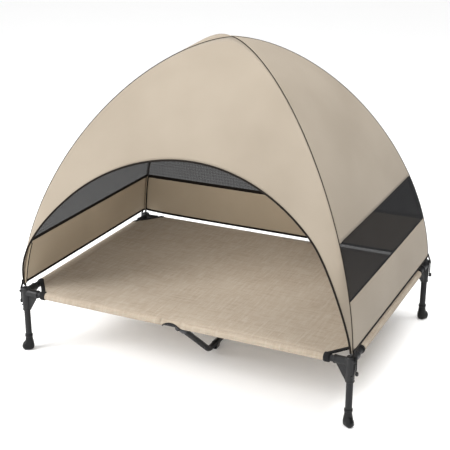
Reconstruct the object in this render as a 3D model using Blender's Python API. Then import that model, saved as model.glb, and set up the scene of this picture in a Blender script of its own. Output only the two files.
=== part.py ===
"""Elevated dog bed with a lift-off canopy.

Metres, +Z up. The origin is on the floor at the centre of the four legs, +X runs along the long side
to the right and +Y runs from the door to the back. Four moulded corners join the legs and the rails,
a fabric sling spans the rails, a pivoting middle leg props the long rails, and two crossing poles
that plug into the corners carry the canopy.
"""

from math import atan2, cos, hypot, pi, radians, sin, sqrt

import bmesh
import bpy
from mathutils import Matrix, Vector

# Frame
LEG_X = 0.600  # leg axes, from the middle
LEG_Y = 0.426
RAIL_Z = 0.222
TUBE_R = 0.011
TUBE_BORE_R = 0.0098
FIT = 0.0003  # gap between pieces that touch
RAIL_INSET = 0.0205  # rail end, inboard of the leg axis
LEG_FOOT_Z = 0.0085
LEG_TOP_Z = 0.1990
TUBE_SIDES = 16

# Corner connector, measured from its leg axis
POST_BOTTOM_Z = 0.154
POST_TOP_Z = 0.240
ARM_LENGTH = 0.054
ARM_R = 0.0137
SOCKET_R = TUBE_R + FIT
LEG_SOCKET_TOP_Z = 0.200
POLE_SOCKET_Z = 0.206
POLE_SOCKET_R = 0.0050
GUSSET_THICKNESS = 0.006
PEG_Z = 0.229

# Foot boot
BOOT_TOP_Z = 0.059
BOOT_FLOOR = 0.008
TOE_REACH = 0.012
TOE_R = 0.0148
TOE_TOP_Z = 0.036
BOOT_SIDES = 16

# Snap button in each leg
BUTTON_Z = 0.176
BUTTON_R = 0.0030
BUTTON_FLANGE_R = 0.0044
BUTTON_HOLE_R = 0.0034

# Middle coupler and the pivoting middle leg
COUPLER_HALF = 0.012
SPIGOT_HALF = 0.050
SPIGOT_R = 0.0094
LUG_Y = (-0.4225, -0.4147)
PIVOT_Z = 0.205
EYE_Y = (-0.4142, -0.4022)
EYE_R = 0.0100
PIN_R = 0.0028
PIN_HOLE_R = 0.0032
MID_TUBE_R = 0.0100
MID_TUBE_BORE_R = 0.0088
MID_BEND_Y = -0.192
MID_BAR_Z = 0.022
MID_BEND_RADIUS = 0.040
KNUCKLE_LENGTH = 0.042
KNUCKLE_SOCKET_START = 0.016
PAD_Y = 0.131
PAD_HALF = 0.0140
PAD_R = 0.0120
PAD_GROUND_Z = 0.0005

# Fabric sling
SLEEVE_R = 0.0132
SLEEVE_BORE_R = 0.0116
DECK_Z = (0.2337, 0.2350)
CUT_X = 0.070  # corner cut, along each rail
CUT_Y = 0.090
NOTCH_X = (-0.052, 0.020)  # longer on the side that the middle leg folds to
NOTCH_TOP_Z = 0.2265

# Canopy poles: superellipse arches in the two vertical planes through opposite legs
ARCH_POWER = 1.7
POLE_POWER = 1.67  # a little flatter than the cloth, so that the poles stay inside it
POLE_R = 0.0035
POLE_BASE_Z = 0.240
POLE_RISE = 0.8532
POLE_CROSSING = 0.0078  # how far the second pole passes under the first
POLE_SIDES = 8
FERRULE_HALF = 0.026
FERRULE_R = 0.0045
FERRULE_BORE_R = 0.0039
TIP_R = 0.0045
TIP_BOTTOM_Z = 0.2065
TIP_TOP_Z = 0.2415
ROD_END_Z = 0.2130

# Canopy fabric: four gores, each straight across between neighbouring arches
HEM_Z = 0.252
ARCH_BASE_Z = 0.243  # where the arches would stand upright, just below the hem
CANOPY_REACH = 0.7455  # along the diagonal, at the arches' base
CANOPY_RISE = 0.8570
CLOTH = 0.0025
SEAM_GAP = 0.0005
CROWN_ANGLE = radians(88.5)
WINDOW_Z = (0.410, 0.578)
BAND_GAP = 0.0006
DOOR_HALF = 0.600
DOOR_TOP_Z = 0.7475
DOOR_POWER = 1.8
DOOR_STRIP = 0.0075  # least width of cloth between the door and the pole seam
FLARE = 0.029  # how far the door's edge stands forward where it leans out most
FLARE_TOP_Z = 0.560

# Corner strap with its toggle, measured from the leg axis
STRAP_WIDTH = 0.012
STRAP_THICKNESS = 0.0016
STRAP_PATH = ((0.0100, 0.2680), (0.0100, 0.2580), (0.0182, 0.2380), (0.0182, 0.1925))
TOGGLE_X = 0.0210
TOGGLE_R = 0.0055
TOGGLE_Z = (0.178, 0.192)

LEG_DIAGONAL = hypot(LEG_X, LEG_Y)
CORNERS = {"front_left": (-1, -1), "front_right": (1, -1), "rear_left": (-1, 1), "rear_right": (1, 1)}


# ---------------------------------------------------------------- materials and mesh helpers

def material(name, colour, roughness, metallic=0.0):
    made = bpy.data.materials.new(name)
    made.use_nodes = True
    shader = made.node_tree.nodes["Principled BSDF"]
    shader.inputs["Base Color"].default_value = (*colour, 1.0)
    shader.inputs["Roughness"].default_value = roughness
    shader.inputs["Metallic"].default_value = metallic
    return made


def add_object(name, mesh, finish=None, location=(0, 0, 0), scale=(1, 1, 1)):
    made = bpy.data.objects.new(name, mesh)
    bpy.context.collection.objects.link(made)
    made.location = location
    made.scale = scale
    if finish is not None and not mesh.materials:
        mesh.materials.append(finish)
    return made


def mesh_from(points, faces, name="shape"):
    mesh = bpy.data.meshes.new(name)
    mesh.from_pydata([tuple(point) for point in points], [], faces)
    shape = bmesh.new()
    shape.from_mesh(mesh)
    bmesh.ops.recalc_face_normals(shape, faces=shape.faces)
    shape.to_mesh(mesh)
    shape.free()
    return mesh


def smooth(mesh, angle=35):
    mesh.shade_smooth()
    mesh.set_sharp_from_angle(angle=radians(angle))
    return mesh


def loft(rings):
    """Closed solid through rings of equally many points, with flat caps on the first and the last."""
    count = len(rings[0])
    points = [point for ring in rings for point in ring]
    faces = [tuple(range(count)), tuple(range(len(points) - count, len(points)))]
    for level in range(len(rings) - 1):
        for k in range(count):
            a = level * count + k
            b = level * count + (k + 1) % count
            faces.append((a, b, b + count, a + count))
    return mesh_from(points, faces)


def circle(centre, u, v, radius, sides):
    steps = [2 * pi * (k + 0.5) / sides for k in range(sides)]
    return [centre + u * (radius * cos(t)) + v * (radius * sin(t)) for t in steps]


def axes_across(direction):
    helper = Vector((0, 0, 1)) if abs(direction.z) < 0.9 else Vector((1, 0, 0))
    u = direction.cross(helper).normalized()
    return u, direction.cross(u)


def rod(start, end, radius, sides=TUBE_SIDES):
    start, end = Vector(start), Vector(end)
    u, v = axes_across((end - start).normalized())
    return loft([circle(start, u, v, radius, sides), circle(end, u, v, radius, sides)])


def turned(profile, sides=TUBE_SIDES, axis_start=(0, 0, 0), direction=(0, 0, 1)):
    """Solid of revolution from (radius, distance along the axis) pairs."""
    origin, along = Vector(axis_start), Vector(direction).normalized()
    u, v = axes_across(along)
    return loft([circle(origin + along * height, u, v, radius, sides) for radius, height in profile])


def closed_loop(rings):
    """Skin through rings of equally many points, with the last joined back to the first: an open tube's wall."""
    sides, count = len(rings[0]), len(rings)
    points = [point for ring in rings for point in ring]
    faces = []
    for level in range(count):
        for k in range(sides):
            here, there = level * sides, (level + 1) % count * sides
            faces.append((here + k, here + (k + 1) % sides, there + (k + 1) % sides, there + k))
    return mesh_from(points, faces)


def hollow_tube(start, end, radius, bore, sides=TUBE_SIDES):
    start, end = Vector(start), Vector(end)
    u, v = axes_across((end - start).normalized())
    walls = ((start, radius), (end, radius), (end, bore), (start, bore))
    return smooth(closed_loop([circle(centre, u, v, r, sides) for centre, r in walls]))


def block(low, high):
    corners = [(x, y, z) for x in (low[0], high[0]) for y in (low[1], high[1]) for z in (low[2], high[2])]
    faces = [(0, 1, 3, 2), (4, 6, 7, 5), (0, 4, 5, 1), (2, 3, 7, 6), (0, 2, 6, 4), (1, 5, 7, 3)]
    return mesh_from(corners, faces)


def prism(outline, direction):
    """Solid from a flat outline of points pushed along a vector."""
    first = [Vector(point) for point in outline]
    return loft([first, [point + Vector(direction) for point in first]])


def combined(base, others, operation):
    """The first mesh joined with, or cut by, each of the others."""
    body = add_object("combining", base)
    for other in others:
        helper = add_object("helper", other)
        step = body.modifiers.new(operation, "BOOLEAN")
        step.operation = operation
        step.solver = "EXACT"
        step.object = helper
        bpy.context.view_layer.update()
        graph = bpy.context.evaluated_depsgraph_get()
        result = bpy.data.meshes.new_from_object(body.evaluated_get(graph))
        body.modifiers.clear()
        body.data = result
        bpy.data.objects.remove(helper)
    bpy.data.objects.remove(body)
    return smooth(result)


def swept(path, side_axis, radius, sides, bore=None):
    """Rod, or tube if it has a bore, along a path that stays in one plane, whose normal is side_axis."""
    def rings(r):
        made = []
        for k, point in enumerate(path):
            along = (path[min(k + 1, len(path) - 1)] - path[max(k - 1, 0)]).normalized()
            made.append(circle(point, side_axis, along.cross(side_axis), r, sides))
        return made

    if bore is None:
        return smooth(loft(rings(radius)), 50)
    return smooth(closed_loop(rings(radius) + rings(bore)[::-1]), 50)


# ---------------------------------------------------------------- frame

def connector_mesh():
    """Corner moulding around its leg axis, with the arms towards -X and -Y."""
    post = turned([(0.0150, POST_BOTTOM_Z), (0.0150, 0.1585), (0.0140, 0.1610), (0.0148, 0.1980),
                   (0.0156, 0.2330), (0.0152, 0.2370), (0.0130, POST_TOP_Z)])
    added = []
    for along, across in ((Vector((-1, 0, 0)), Vector((0, 1, 0))), (Vector((0, -1, 0)), Vector((1, 0, 0)))):
        profile = [(ARM_R, 0.002), (ARM_R, 0.047), (0.0146, 0.048), (0.0146, ARM_LENGTH)]
        added.append(turned(profile, TUBE_SIDES, (0, 0, RAIL_Z), along))
        slope = [(0.008, 0.1570), (0.0160, 0.1570), (0.0465, 0.2090), (0.0465, 0.2160), (0.008, 0.2160)]
        side = across * (-GUSSET_THICKNESS / 2)
        outline = [along * reach + Vector((0, 0, z)) + side for reach, z in slope]
        added.append(prism(outline, across * GUSSET_THICKNESS))
    outward = Vector((1, 1, 0)).normalized()
    peg = [(0.0034, 0.006), (0.0034, 0.0200), (0.0050, 0.0202), (0.0050, 0.0225)]
    added.append(turned(peg, 10, (0, 0, PEG_Z), outward))
    solid = combined(post, added, "UNION")
    cuts = [
        rod((0, 0, POST_BOTTOM_Z - 0.01), (0, 0, LEG_SOCKET_TOP_Z), SOCKET_R),
        rod((0, 0, POLE_SOCKET_Z), (0, 0, POST_TOP_Z + 0.01), POLE_SOCKET_R, 12),
        rod((-0.020, 0, RAIL_Z), (-ARM_LENGTH - 0.01, 0, RAIL_Z), SOCKET_R),
        rod((0, -0.020, RAIL_Z), (0, -ARM_LENGTH - 0.01, RAIL_Z), SOCKET_R),
        rod((0, 0, BUTTON_Z), outward * 0.03 + Vector((0, 0, BUTTON_Z)), BUTTON_HOLE_R, 10),
    ]
    return combined(solid, cuts, "DIFFERENCE")


def leg_tube_mesh():
    tube = hollow_tube((0, 0, LEG_FOOT_Z), (0, 0, LEG_TOP_Z), TUBE_R, TUBE_BORE_R)
    outward = Vector((0.03, 0.03, 0))
    height = Vector((0, 0, BUTTON_Z))
    return combined(tube, [rod(height, outward + height, BUTTON_HOLE_R, 10)], "DIFFERENCE")


def boot_level(z, bulb_r):
    """Outline of the boot at one height: the hull of the bulb's circle and the toe's smaller circle."""
    lift = min(z / TOE_TOP_Z, 1.0)
    fade = sqrt(1.0 - lift * lift)
    reach, toe_r = TOE_REACH * fade, TOE_R * fade
    ring = []
    for k in range(BOOT_SIDES):
        turn = 2 * pi * (k + 0.5) / BOOT_SIDES
        on_toe = reach * cos(turn) + toe_r > bulb_r
        radius, centre = (toe_r, reach) if on_toe else (bulb_r, 0.0)
        along, across = centre + radius * cos(turn), radius * sin(turn)
        ring.append(Vector(((along - across) / sqrt(2), (along + across) / sqrt(2), z)))
    return ring


def boot_mesh():
    levels = [(0.0, 0.0148), (0.003, 0.0160), (0.012, 0.0168), (0.020, 0.0168), (0.027, 0.0162),
              (0.0355, 0.0150), (0.042, 0.0140), (0.050, 0.0133), (BOOT_TOP_Z, 0.0131)]
    solid = loft([boot_level(z, bulb) for z, bulb in levels])
    return combined(solid, [rod((0, 0, BOOT_FLOOR), (0, 0, BOOT_TOP_Z + 0.01), SOCKET_R)], "DIFFERENCE")


def button_mesh():
    """Snap button along +X from the leg axis, with its flange inside the leg tube."""
    profile = [(BUTTON_FLANGE_R, 0.0060), (BUTTON_FLANGE_R, 0.0078), (BUTTON_R, 0.0079), (BUTTON_R, 0.0158),
               (0.0024, 0.0168), (0.0012, 0.0173)]
    return smooth(turned(profile, 10, (0, 0, 0), (1, 0, 0)))


def build_corners(plastic, metal, rubber, steel):
    connector, leg, boot, button = connector_mesh(), leg_tube_mesh(), boot_mesh(), button_mesh()
    for corner, (sx, sy) in CORNERS.items():
        place = dict(location=(sx * LEG_X, sy * LEG_Y, 0), scale=(sx, sy, 1))
        add_object(f"corner_connector_{corner}", connector, plastic, **place)
        add_object(f"leg_tube_{corner}", leg, metal, **place)
        add_object(f"foot_boot_{corner}", boot, rubber, **place)
        pin = add_object(f"snap_button_{corner}", button, steel, (sx * LEG_X, sy * LEG_Y, BUTTON_Z))
        pin.rotation_euler.z = atan2(sy, sx)


def build_rails(metal):
    outer = LEG_X - RAIL_INSET
    half = hollow_tube((COUPLER_HALF + FIT, 0, RAIL_Z), (outer, 0, RAIL_Z), TUBE_R, TUBE_BORE_R)
    for row, sy in (("front", -1), ("rear", 1)):
        for side, sx in (("left", -1), ("right", 1)):
            add_object(f"{row}_rail_{side}", half, metal, (0, sy * LEG_Y, 0), (sx, 1, 1))
    reach = LEG_Y - RAIL_INSET
    across = hollow_tube((0, -reach, RAIL_Z), (0, reach, RAIL_Z), TUBE_R, TUBE_BORE_R)
    for side, sx in (("left", -1), ("right", 1)):
        add_object(f"{side}_rail", across, metal, (sx * LEG_X, 0, 0))


# ---------------------------------------------------------------- middle leg

def coupler_mesh():
    """Spigot that joins the half rails, with the lug below it that carries the middle leg's pivot."""
    spigot = rod((-SPIGOT_HALF, -LEG_Y, RAIL_Z), (SPIGOT_HALF, -LEG_Y, RAIL_Z), SPIGOT_R)
    added = [
        rod((-COUPLER_HALF, -LEG_Y, RAIL_Z), (COUPLER_HALF, -LEG_Y, RAIL_Z), TUBE_R),
        block((-0.0095, LUG_Y[0], PIVOT_Z), (0.0095, LUG_Y[1], RAIL_Z - 0.004)),
        rod((0, LUG_Y[0] + 0.0001, PIVOT_Z), (0, LUG_Y[1] - 0.0001, PIVOT_Z), 0.0099),
    ]
    hole = rod((0, LUG_Y[0] - 0.002, PIVOT_Z), (0, LUG_Y[1] + 0.002, PIVOT_Z), PIN_HOLE_R, 12)
    return combined(combined(spigot, added, "UNION"), [hole], "DIFFERENCE")


def pin_mesh():
    head = LUG_Y[0] - FIT
    profile = [(0.0044, head - 0.0026), (0.0050, head - 0.0020), (0.0050, head), (PIN_R, head + 0.0001),
               (PIN_R, EYE_Y[1] - 0.0020)]
    return smooth(turned(profile, 12, (0, 0, PIVOT_Z), (0, 1, 0)))


def strut_direction():
    eye = (EYE_Y[0] + EYE_Y[1]) / 2
    return Vector((0, MID_BEND_Y - eye, MID_BAR_Z - PIVOT_Z)).normalized()


def knuckle_mesh():
    """Eye on the pivot pin, with a socket along the strut for the middle leg's tube."""
    pivot = Vector((0, (EYE_Y[0] + EYE_Y[1]) / 2, PIVOT_Z))
    along = strut_direction()
    eye = rod((0, EYE_Y[0], PIVOT_Z), (0, EYE_Y[1], PIVOT_Z), EYE_R)
    collar = turned([(0.0085, 0.004), (0.0124, 0.014), (0.0124, KNUCKLE_LENGTH - 0.003), (0.0118, KNUCKLE_LENGTH)],
                    TUBE_SIDES, pivot, along)
    behind = block((-0.02, EYE_Y[0] - 0.02, PIVOT_Z - 0.03), (0.02, EYE_Y[0] + 0.00005, PIVOT_Z + 0.03))
    cuts = [
        behind,
        rod((0, EYE_Y[0] - 0.002, PIVOT_Z), (0, EYE_Y[1] - 0.0012, PIVOT_Z), PIN_HOLE_R, 12),
        rod(pivot + along * KNUCKLE_SOCKET_START, pivot + along * (KNUCKLE_LENGTH + 0.01), MID_TUBE_R + FIT),
    ]
    return combined(combined(eye, [collar], "UNION"), cuts, "DIFFERENCE")


def middle_leg_path():
    pivot = Vector((0, (EYE_Y[0] + EYE_Y[1]) / 2, PIVOT_Z))
    along = strut_direction()
    bend = Vector((0, MID_BEND_Y, MID_BAR_Z))
    turn = atan2(-along.z, along.y)
    tangent = MID_BEND_RADIUS * sin(turn / 2) / cos(turn / 2)
    centre = bend + Vector((0, tangent, MID_BEND_RADIUS))
    half = [pivot + along * (KNUCKLE_SOCKET_START + 0.0005)]
    steps = 5
    for k in range(steps + 1):
        angle = turn * (1 - k / steps)
        half.append(centre - Vector((0, MID_BEND_RADIUS * sin(angle), MID_BEND_RADIUS * cos(angle))))
    return half + [Vector((0, -point.y, point.z)) for point in reversed(half)]


def pad_mesh():
    sleeve = rod((0, PAD_Y - PAD_HALF, MID_BAR_Z), (0, PAD_Y + PAD_HALF, MID_BAR_Z), PAD_R)
    start, top = PAD_Y - PAD_HALF + 0.0005, MID_BAR_Z - 0.002
    foot = prism([(-0.0060, start, PAD_GROUND_Z), (0.0060, start, PAD_GROUND_Z),
                  (0.0105, start, top), (-0.0105, start, top)], (0, 2 * PAD_HALF - 0.0010, 0))
    bore = rod((0, PAD_Y - 0.03, MID_BAR_Z), (0, PAD_Y + 0.03, MID_BAR_Z), MID_TUBE_R + FIT, 12)
    return combined(combined(sleeve, [foot], "UNION"), [bore], "DIFFERENCE")


def build_middle_leg(metal, plastic, grey, rubber, steel):
    pivot = bpy.data.objects.new("middle_leg_pivot", None)
    bpy.context.collection.objects.link(pivot)
    pivot.location = (0, 0, PIVOT_Z)
    coupler, pin, knuckle, pad = coupler_mesh(), pin_mesh(), knuckle_mesh(), pad_mesh()
    tube = swept(middle_leg_path(), Vector((1, 0, 0)), MID_TUBE_R, 12, MID_TUBE_BORE_R)
    moving = [add_object("middle_leg_tube", tube, metal)]
    for row, sy in (("front", 1), ("rear", -1)):
        add_object(f"rail_coupler_{row}", coupler, plastic, scale=(1, sy, 1))
        add_object(f"pivot_pin_{row}", pin, steel, scale=(1, sy, 1))
        moving.append(add_object(f"middle_leg_knuckle_{row}", knuckle, grey, scale=(1, sy, 1)))
        moving.append(add_object(f"middle_leg_pad_{row}", pad, rubber, scale=(1, -sy, 1)))
    for piece in moving:
        piece.parent = pivot
        piece.matrix_parent_inverse = Matrix.Translation((0, 0, -PIVOT_Z))


# ---------------------------------------------------------------- sling

def sling_mesh():
    outline = []
    for sx, sy in ((-1, -1), (1, -1), (1, 1), (-1, 1)):
        long_end = (sx * (LEG_X - CUT_X), sy * LEG_Y, DECK_Z[0])
        short_end = (sx * LEG_X, sy * (LEG_Y - CUT_Y), DECK_Z[0])
        outline += [long_end, short_end] if sx * sy < 0 else [short_end, long_end]
    deck = prism(outline, (0, 0, DECK_Z[1] - DECK_Z[0]))
    sleeves, bores, notches = [], [], []
    long_half, short_half = LEG_X - CUT_X, LEG_Y - CUT_Y
    for side in (-1, 1):
        y, x = side * LEG_Y, side * LEG_X
        sleeves.append(rod((-long_half - 0.001, y, RAIL_Z), (long_half + 0.001, y, RAIL_Z), SLEEVE_R))
        sleeves.append(rod((x, -short_half - 0.001, RAIL_Z), (x, short_half + 0.001, RAIL_Z), SLEEVE_R))
        bores.append(rod((-LEG_X, y, RAIL_Z), (LEG_X, y, RAIL_Z), SLEEVE_BORE_R))
        bores.append(rod((x, -LEG_Y, RAIL_Z), (x, LEG_Y, RAIL_Z), SLEEVE_BORE_R))
        notches.append(block((NOTCH_X[0], y - 0.02, RAIL_Z - 0.02), (NOTCH_X[1], y + 0.02, NOTCH_TOP_Z)))
    return combined(combined(deck, sleeves, "UNION"), bores + notches, "DIFFERENCE")


# ---------------------------------------------------------------- canopy

def arch_reach(z, full_reach, base_z, rise):
    ratio = min(max((z - base_z) / rise, 0.0), 1.0)
    return full_reach * (1 - ratio ** ARCH_POWER) ** (1 / ARCH_POWER)


def pole_path(direction, drop):
    """Points of one pole from corner to corner, vertical where it enters the corner connectors."""
    points = [direction * -LEG_DIAGONAL + Vector((0, 0, ROD_END_Z))]
    steps = 28
    for k in range(steps + 1):
        angle = pi * k / steps
        across = abs(cos(angle)) ** (2 / POLE_POWER) * (-1 if angle < pi / 2 else 1)
        up = sin(angle) ** (2 / POLE_POWER)
        points.append(direction * (LEG_DIAGONAL * across) + Vector((0, 0, POLE_BASE_Z + (POLE_RISE - drop) * up)))
    return points + [direction * LEG_DIAGONAL + Vector((0, 0, ROD_END_Z))]


def split_pole(points, share):
    """The path as two runs that nearly meet, and the stretch between them that the ferrule covers."""
    joint = round(share * (len(points) - 1))
    along = (points[joint + 1] - points[joint - 1]).normalized()
    middle = points[joint]
    first = points[:joint] + [middle - along * FIT]
    second = [middle + along * FIT] + points[joint + 1:]
    return first, second, (middle - along * FERRULE_HALF, middle + along * FERRULE_HALF)


def straightened(run, ferrule, at_end):
    """Leaves out the points inside the ferrule, so that the rod is straight where it runs in it."""
    middle = (ferrule[0] + ferrule[1]) / 2
    clear = FERRULE_HALF + 0.002
    kept = [point for point in run if (point - middle).length > clear]
    end = run[-1] if at_end else run[0]
    mouth = ferrule[0] if at_end else ferrule[1]
    return kept + [mouth, end] if at_end else [end, mouth] + kept


def build_poles(fibreglass, steel, plastic):
    poles = (("rising", Vector((LEG_X, LEG_Y, 0)).normalized(), 0.0, 0.36),
             ("falling", Vector((LEG_X, -LEG_Y, 0)).normalized(), POLE_CROSSING, 0.64))
    for name, direction, drop, share in poles:
        side_axis = direction.cross(Vector((0, 0, 1)))
        first, second, ferrule = split_pole(pole_path(direction, drop), share)
        left = straightened(first, ferrule, True)
        right = straightened(second, ferrule, False)
        add_object(f"pole_{name}_left", swept(left, side_axis, POLE_R, POLE_SIDES), fibreglass)
        add_object(f"pole_{name}_right", swept(right, side_axis, POLE_R, POLE_SIDES), fibreglass)
        add_object(f"pole_ferrule_{name}", hollow_tube(*ferrule, FERRULE_R, FERRULE_BORE_R, 12), steel)
    tip = turned([(0.0036, TIP_BOTTOM_Z), (TIP_R, TIP_BOTTOM_Z + 0.0015), (TIP_R, TIP_TOP_Z)], 12)
    bore = rod((0, 0, ROD_END_Z - 0.0005), (0, 0, TIP_TOP_Z + 0.01), POLE_R + 0.0004, 12)
    tip = combined(tip, [bore], "DIFFERENCE")
    for corner, (sx, sy) in CORNERS.items():
        add_object(f"pole_tip_{corner}", tip, plastic, (sx * LEG_X, sy * LEG_Y, 0))


def cloth_point(side, share, z, inner):
    """Point of a gore at height z: share runs from -1 to 1 between its two arches."""
    shrink = CLOTH if inner else 0.0
    reach = arch_reach(z, CANOPY_REACH - shrink, ARCH_BASE_Z, CANOPY_RISE - shrink)
    x, y = reach * LEG_X / LEG_DIAGONAL, reach * LEG_Y / LEG_DIAGONAL
    if side in ("left", "right"):
        half = max(y - SEAM_GAP, 0.0)
        return Vector((x if side == "right" else -x, share * half, z))
    half = max(x - SEAM_GAP, 0.0)
    return Vector((share * half, y if side == "rear" else -y, z))


def two_skin_solid(outer, inner):
    """Closed solid between two grids of points of the same size."""
    rows, columns = len(outer), len(outer[0])
    points = [point for grid in (outer, inner) for row in grid for point in row]

    def index(layer, row, column):
        return layer * rows * columns + row * columns + column

    faces = []
    for layer in (0, 1):
        for row in range(rows - 1):
            for column in range(columns - 1):
                faces.append((index(layer, row, column), index(layer, row, column + 1),
                              index(layer, row + 1, column + 1), index(layer, row + 1, column)))
    rim = [(0, c) for c in range(columns)] + [(r, columns - 1) for r in range(1, rows)]
    rim += [(rows - 1, c) for c in range(columns - 2, -1, -1)] + [(r, 0) for r in range(rows - 2, 0, -1)]
    for k, (row, column) in enumerate(rim):
        next_row, next_column = rim[(k + 1) % len(rim)]
        faces.append((index(0, row, column), index(0, next_row, next_column),
                      index(1, next_row, next_column), index(1, row, column)))
    return smooth(mesh_from(points, faces))


def gore_piece(side, low, high, rows):
    """Band of a gore between two heights."""
    heights = [low + (high - low) * k / rows for k in range(rows + 1)]
    skins = [[[cloth_point(side, share, z, inner) for share in (-1, 0, 1)] for z in heights]
             for inner in (False, True)]
    return two_skin_solid(*skins)


def roof_height(base, share, inner):
    """Height from base to just short of the crown, closer together near the crown."""
    top = ARCH_BASE_Z + CANOPY_RISE - (CLOTH if inner else 0.0)
    return base + (top - base) * sin(CROWN_ANGLE * share)


def roof_piece(side):
    """Upper part of a gore, from the window to the crown."""
    base, rows = WINDOW_Z[1] + BAND_GAP, 10
    skins = []
    for inner in (False, True):
        heights = [roof_height(base, k / rows, inner) for k in range(rows + 1)]
        skins.append([[cloth_point(side, share, z, inner) for share in (-1, 0, 1)] for z in heights])
    return two_skin_solid(*skins)


def door_half(z):
    ratio = min(max((z - HEM_Z) / (DOOR_TOP_Z - HEM_Z), 0.0), 1.0)
    return DOOR_HALF * sqrt(1 - ratio ** DOOR_POWER)


def door_flare(z):
    """How far the door's edge stands forward of the gore at a height."""
    share = min(max((z - HEM_Z) / (FLARE_TOP_Z - HEM_Z), 0.0), 1.0)
    return FLARE * sin(pi * share)


def door_edge(count):
    """Points (x, z) of the door from the hem at the left, over the top, to the hem at the right."""
    left = []
    for k in range(count + 1):
        turn = pi / 2 * k / count
        z = HEM_Z + (DOOR_TOP_Z - HEM_Z) * sin(turn)
        seam = arch_reach(z, CANOPY_REACH, ARCH_BASE_Z, CANOPY_RISE) * LEG_X / LEG_DIAGONAL
        left.append((-min(door_half(z), seam - DOOR_STRIP), z))
    return left + [(-x, z) for x, z in reversed(left[:-1])]


def front_panel():
    """The door gore: cloth from the door's edge out to the two poles."""
    count, rings = 14, 4
    edge = door_edge(count)
    skins = []
    for inner in (False, True):
        skin = []
        for ring in range(rings + 1):
            mix = ring / rings
            row = []
            for k, (x, z) in enumerate(edge):
                seam_z = roof_height(HEM_Z, min(k, 2 * count - k) / count, inner)
                seam = cloth_point("front", (k > count) - (k < count), seam_z, inner)
                height = z + (seam_z - z) * mix
                forward = cloth_point("front", 0, height, inner).y - door_flare(z) * (1 - mix)
                row.append(Vector((x + (seam.x - x) * mix, forward, height)))
            skin.append(row)
        skins.append(skin)
    return two_skin_solid(*skins)


def strap_mesh():
    """Webbing strap outside the leg axis, towards +X, bent over the connector's shoulder."""
    half = STRAP_THICKNESS / 2
    path = [Vector((x, 0, z)) for x, z in STRAP_PATH]
    outside, inside = [], []
    for k, point in enumerate(path):
        along = (path[min(k + 1, len(path) - 1)] - path[max(k - 1, 0)]).normalized()
        across = Vector((-along.z, 0, along.x))
        outside.append(point + across * half)
        inside.append(point - across * half)
    outline = outside + inside[::-1]
    shift = Vector((0, -STRAP_WIDTH / 2, 0))
    return prism([point + shift for point in outline], (0, STRAP_WIDTH, 0))


def toggle_mesh():
    low, high = TOGGLE_Z
    profile = [(0.0030, low), (0.0048, low + 0.0020), (TOGGLE_R, low + 0.0050), (TOGGLE_R, high - 0.0050),
               (0.0048, high - 0.0020), (0.0030, high)]
    return smooth(turned(profile, 12, (TOGGLE_X, 0, 0)), 60)


def build_canopy(cloth, net, webbing, plastic):
    add_object("canopy_front_panel", front_panel(), cloth)
    for side in ("left", "right", "rear"):
        add_object(f"canopy_band_{side}", gore_piece(side, HEM_Z, WINDOW_Z[0], 5), cloth)
        add_object(f"mesh_window_{side}", gore_piece(side, WINDOW_Z[0] + BAND_GAP, WINDOW_Z[1], 4), net)
        add_object(f"canopy_roof_{side}", roof_piece(side), cloth)
    strap, toggle = strap_mesh(), toggle_mesh()
    for corner, (sx, sy) in CORNERS.items():
        hinge = bpy.data.objects.new(f"strap_hinge_{corner}", None)
        bpy.context.collection.objects.link(hinge)
        hinge.location = (sx * (LEG_X + STRAP_PATH[0][0]), sy * LEG_Y, STRAP_PATH[0][1])
        for name, mesh, finish in (("strap", strap, webbing), ("toggle", toggle, plastic)):
            piece = add_object(f"corner_{name}_{corner}", mesh, finish, (sx * LEG_X, sy * LEG_Y, 0), (sx, 1, 1))
            piece.parent = hinge
            piece.matrix_parent_inverse = Matrix.Translation(-hinge.location)


def main():
    for existing in list(bpy.data.objects):
        bpy.data.objects.remove(existing)
    charcoal = material("powder_coated_steel", (0.055, 0.055, 0.058), 0.38, 0.6)
    black = material("black_nylon", (0.022, 0.022, 0.024), 0.48)
    grey = material("grey_nylon", (0.10, 0.10, 0.105), 0.50)
    rubber = material("black_rubber", (0.018, 0.018, 0.020), 0.70)
    steel = material("zinc_steel", (0.45, 0.45, 0.46), 0.32, 1.0)
    fibreglass = material("black_fibreglass", (0.015, 0.015, 0.016), 0.35)
    cloth = material("beige_canopy_cloth", (0.62, 0.54, 0.44), 0.82)
    weave = material("sand_sling_weave", (0.60, 0.50, 0.38), 0.85)
    net = material("black_mesh", (0.05, 0.05, 0.052), 0.80)
    webbing = material("black_webbing", (0.02, 0.02, 0.021), 0.75)
    build_corners(black, charcoal, rubber, steel)
    build_rails(charcoal)
    build_middle_leg(charcoal, black, grey, rubber, steel)
    add_object("bed_sling", sling_mesh(), weave)
    build_poles(fibreglass, steel, black)
    build_canopy(cloth, net, webbing, black)


main()
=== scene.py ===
"""Looks of the canopied dog bed: soft goods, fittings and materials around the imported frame."""

from math import asin, atan2, ceil, cos, hypot, pi, radians, sin, sqrt

import bmesh
import bpy
from mathutils import Euler, Matrix, Vector, noise


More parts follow.
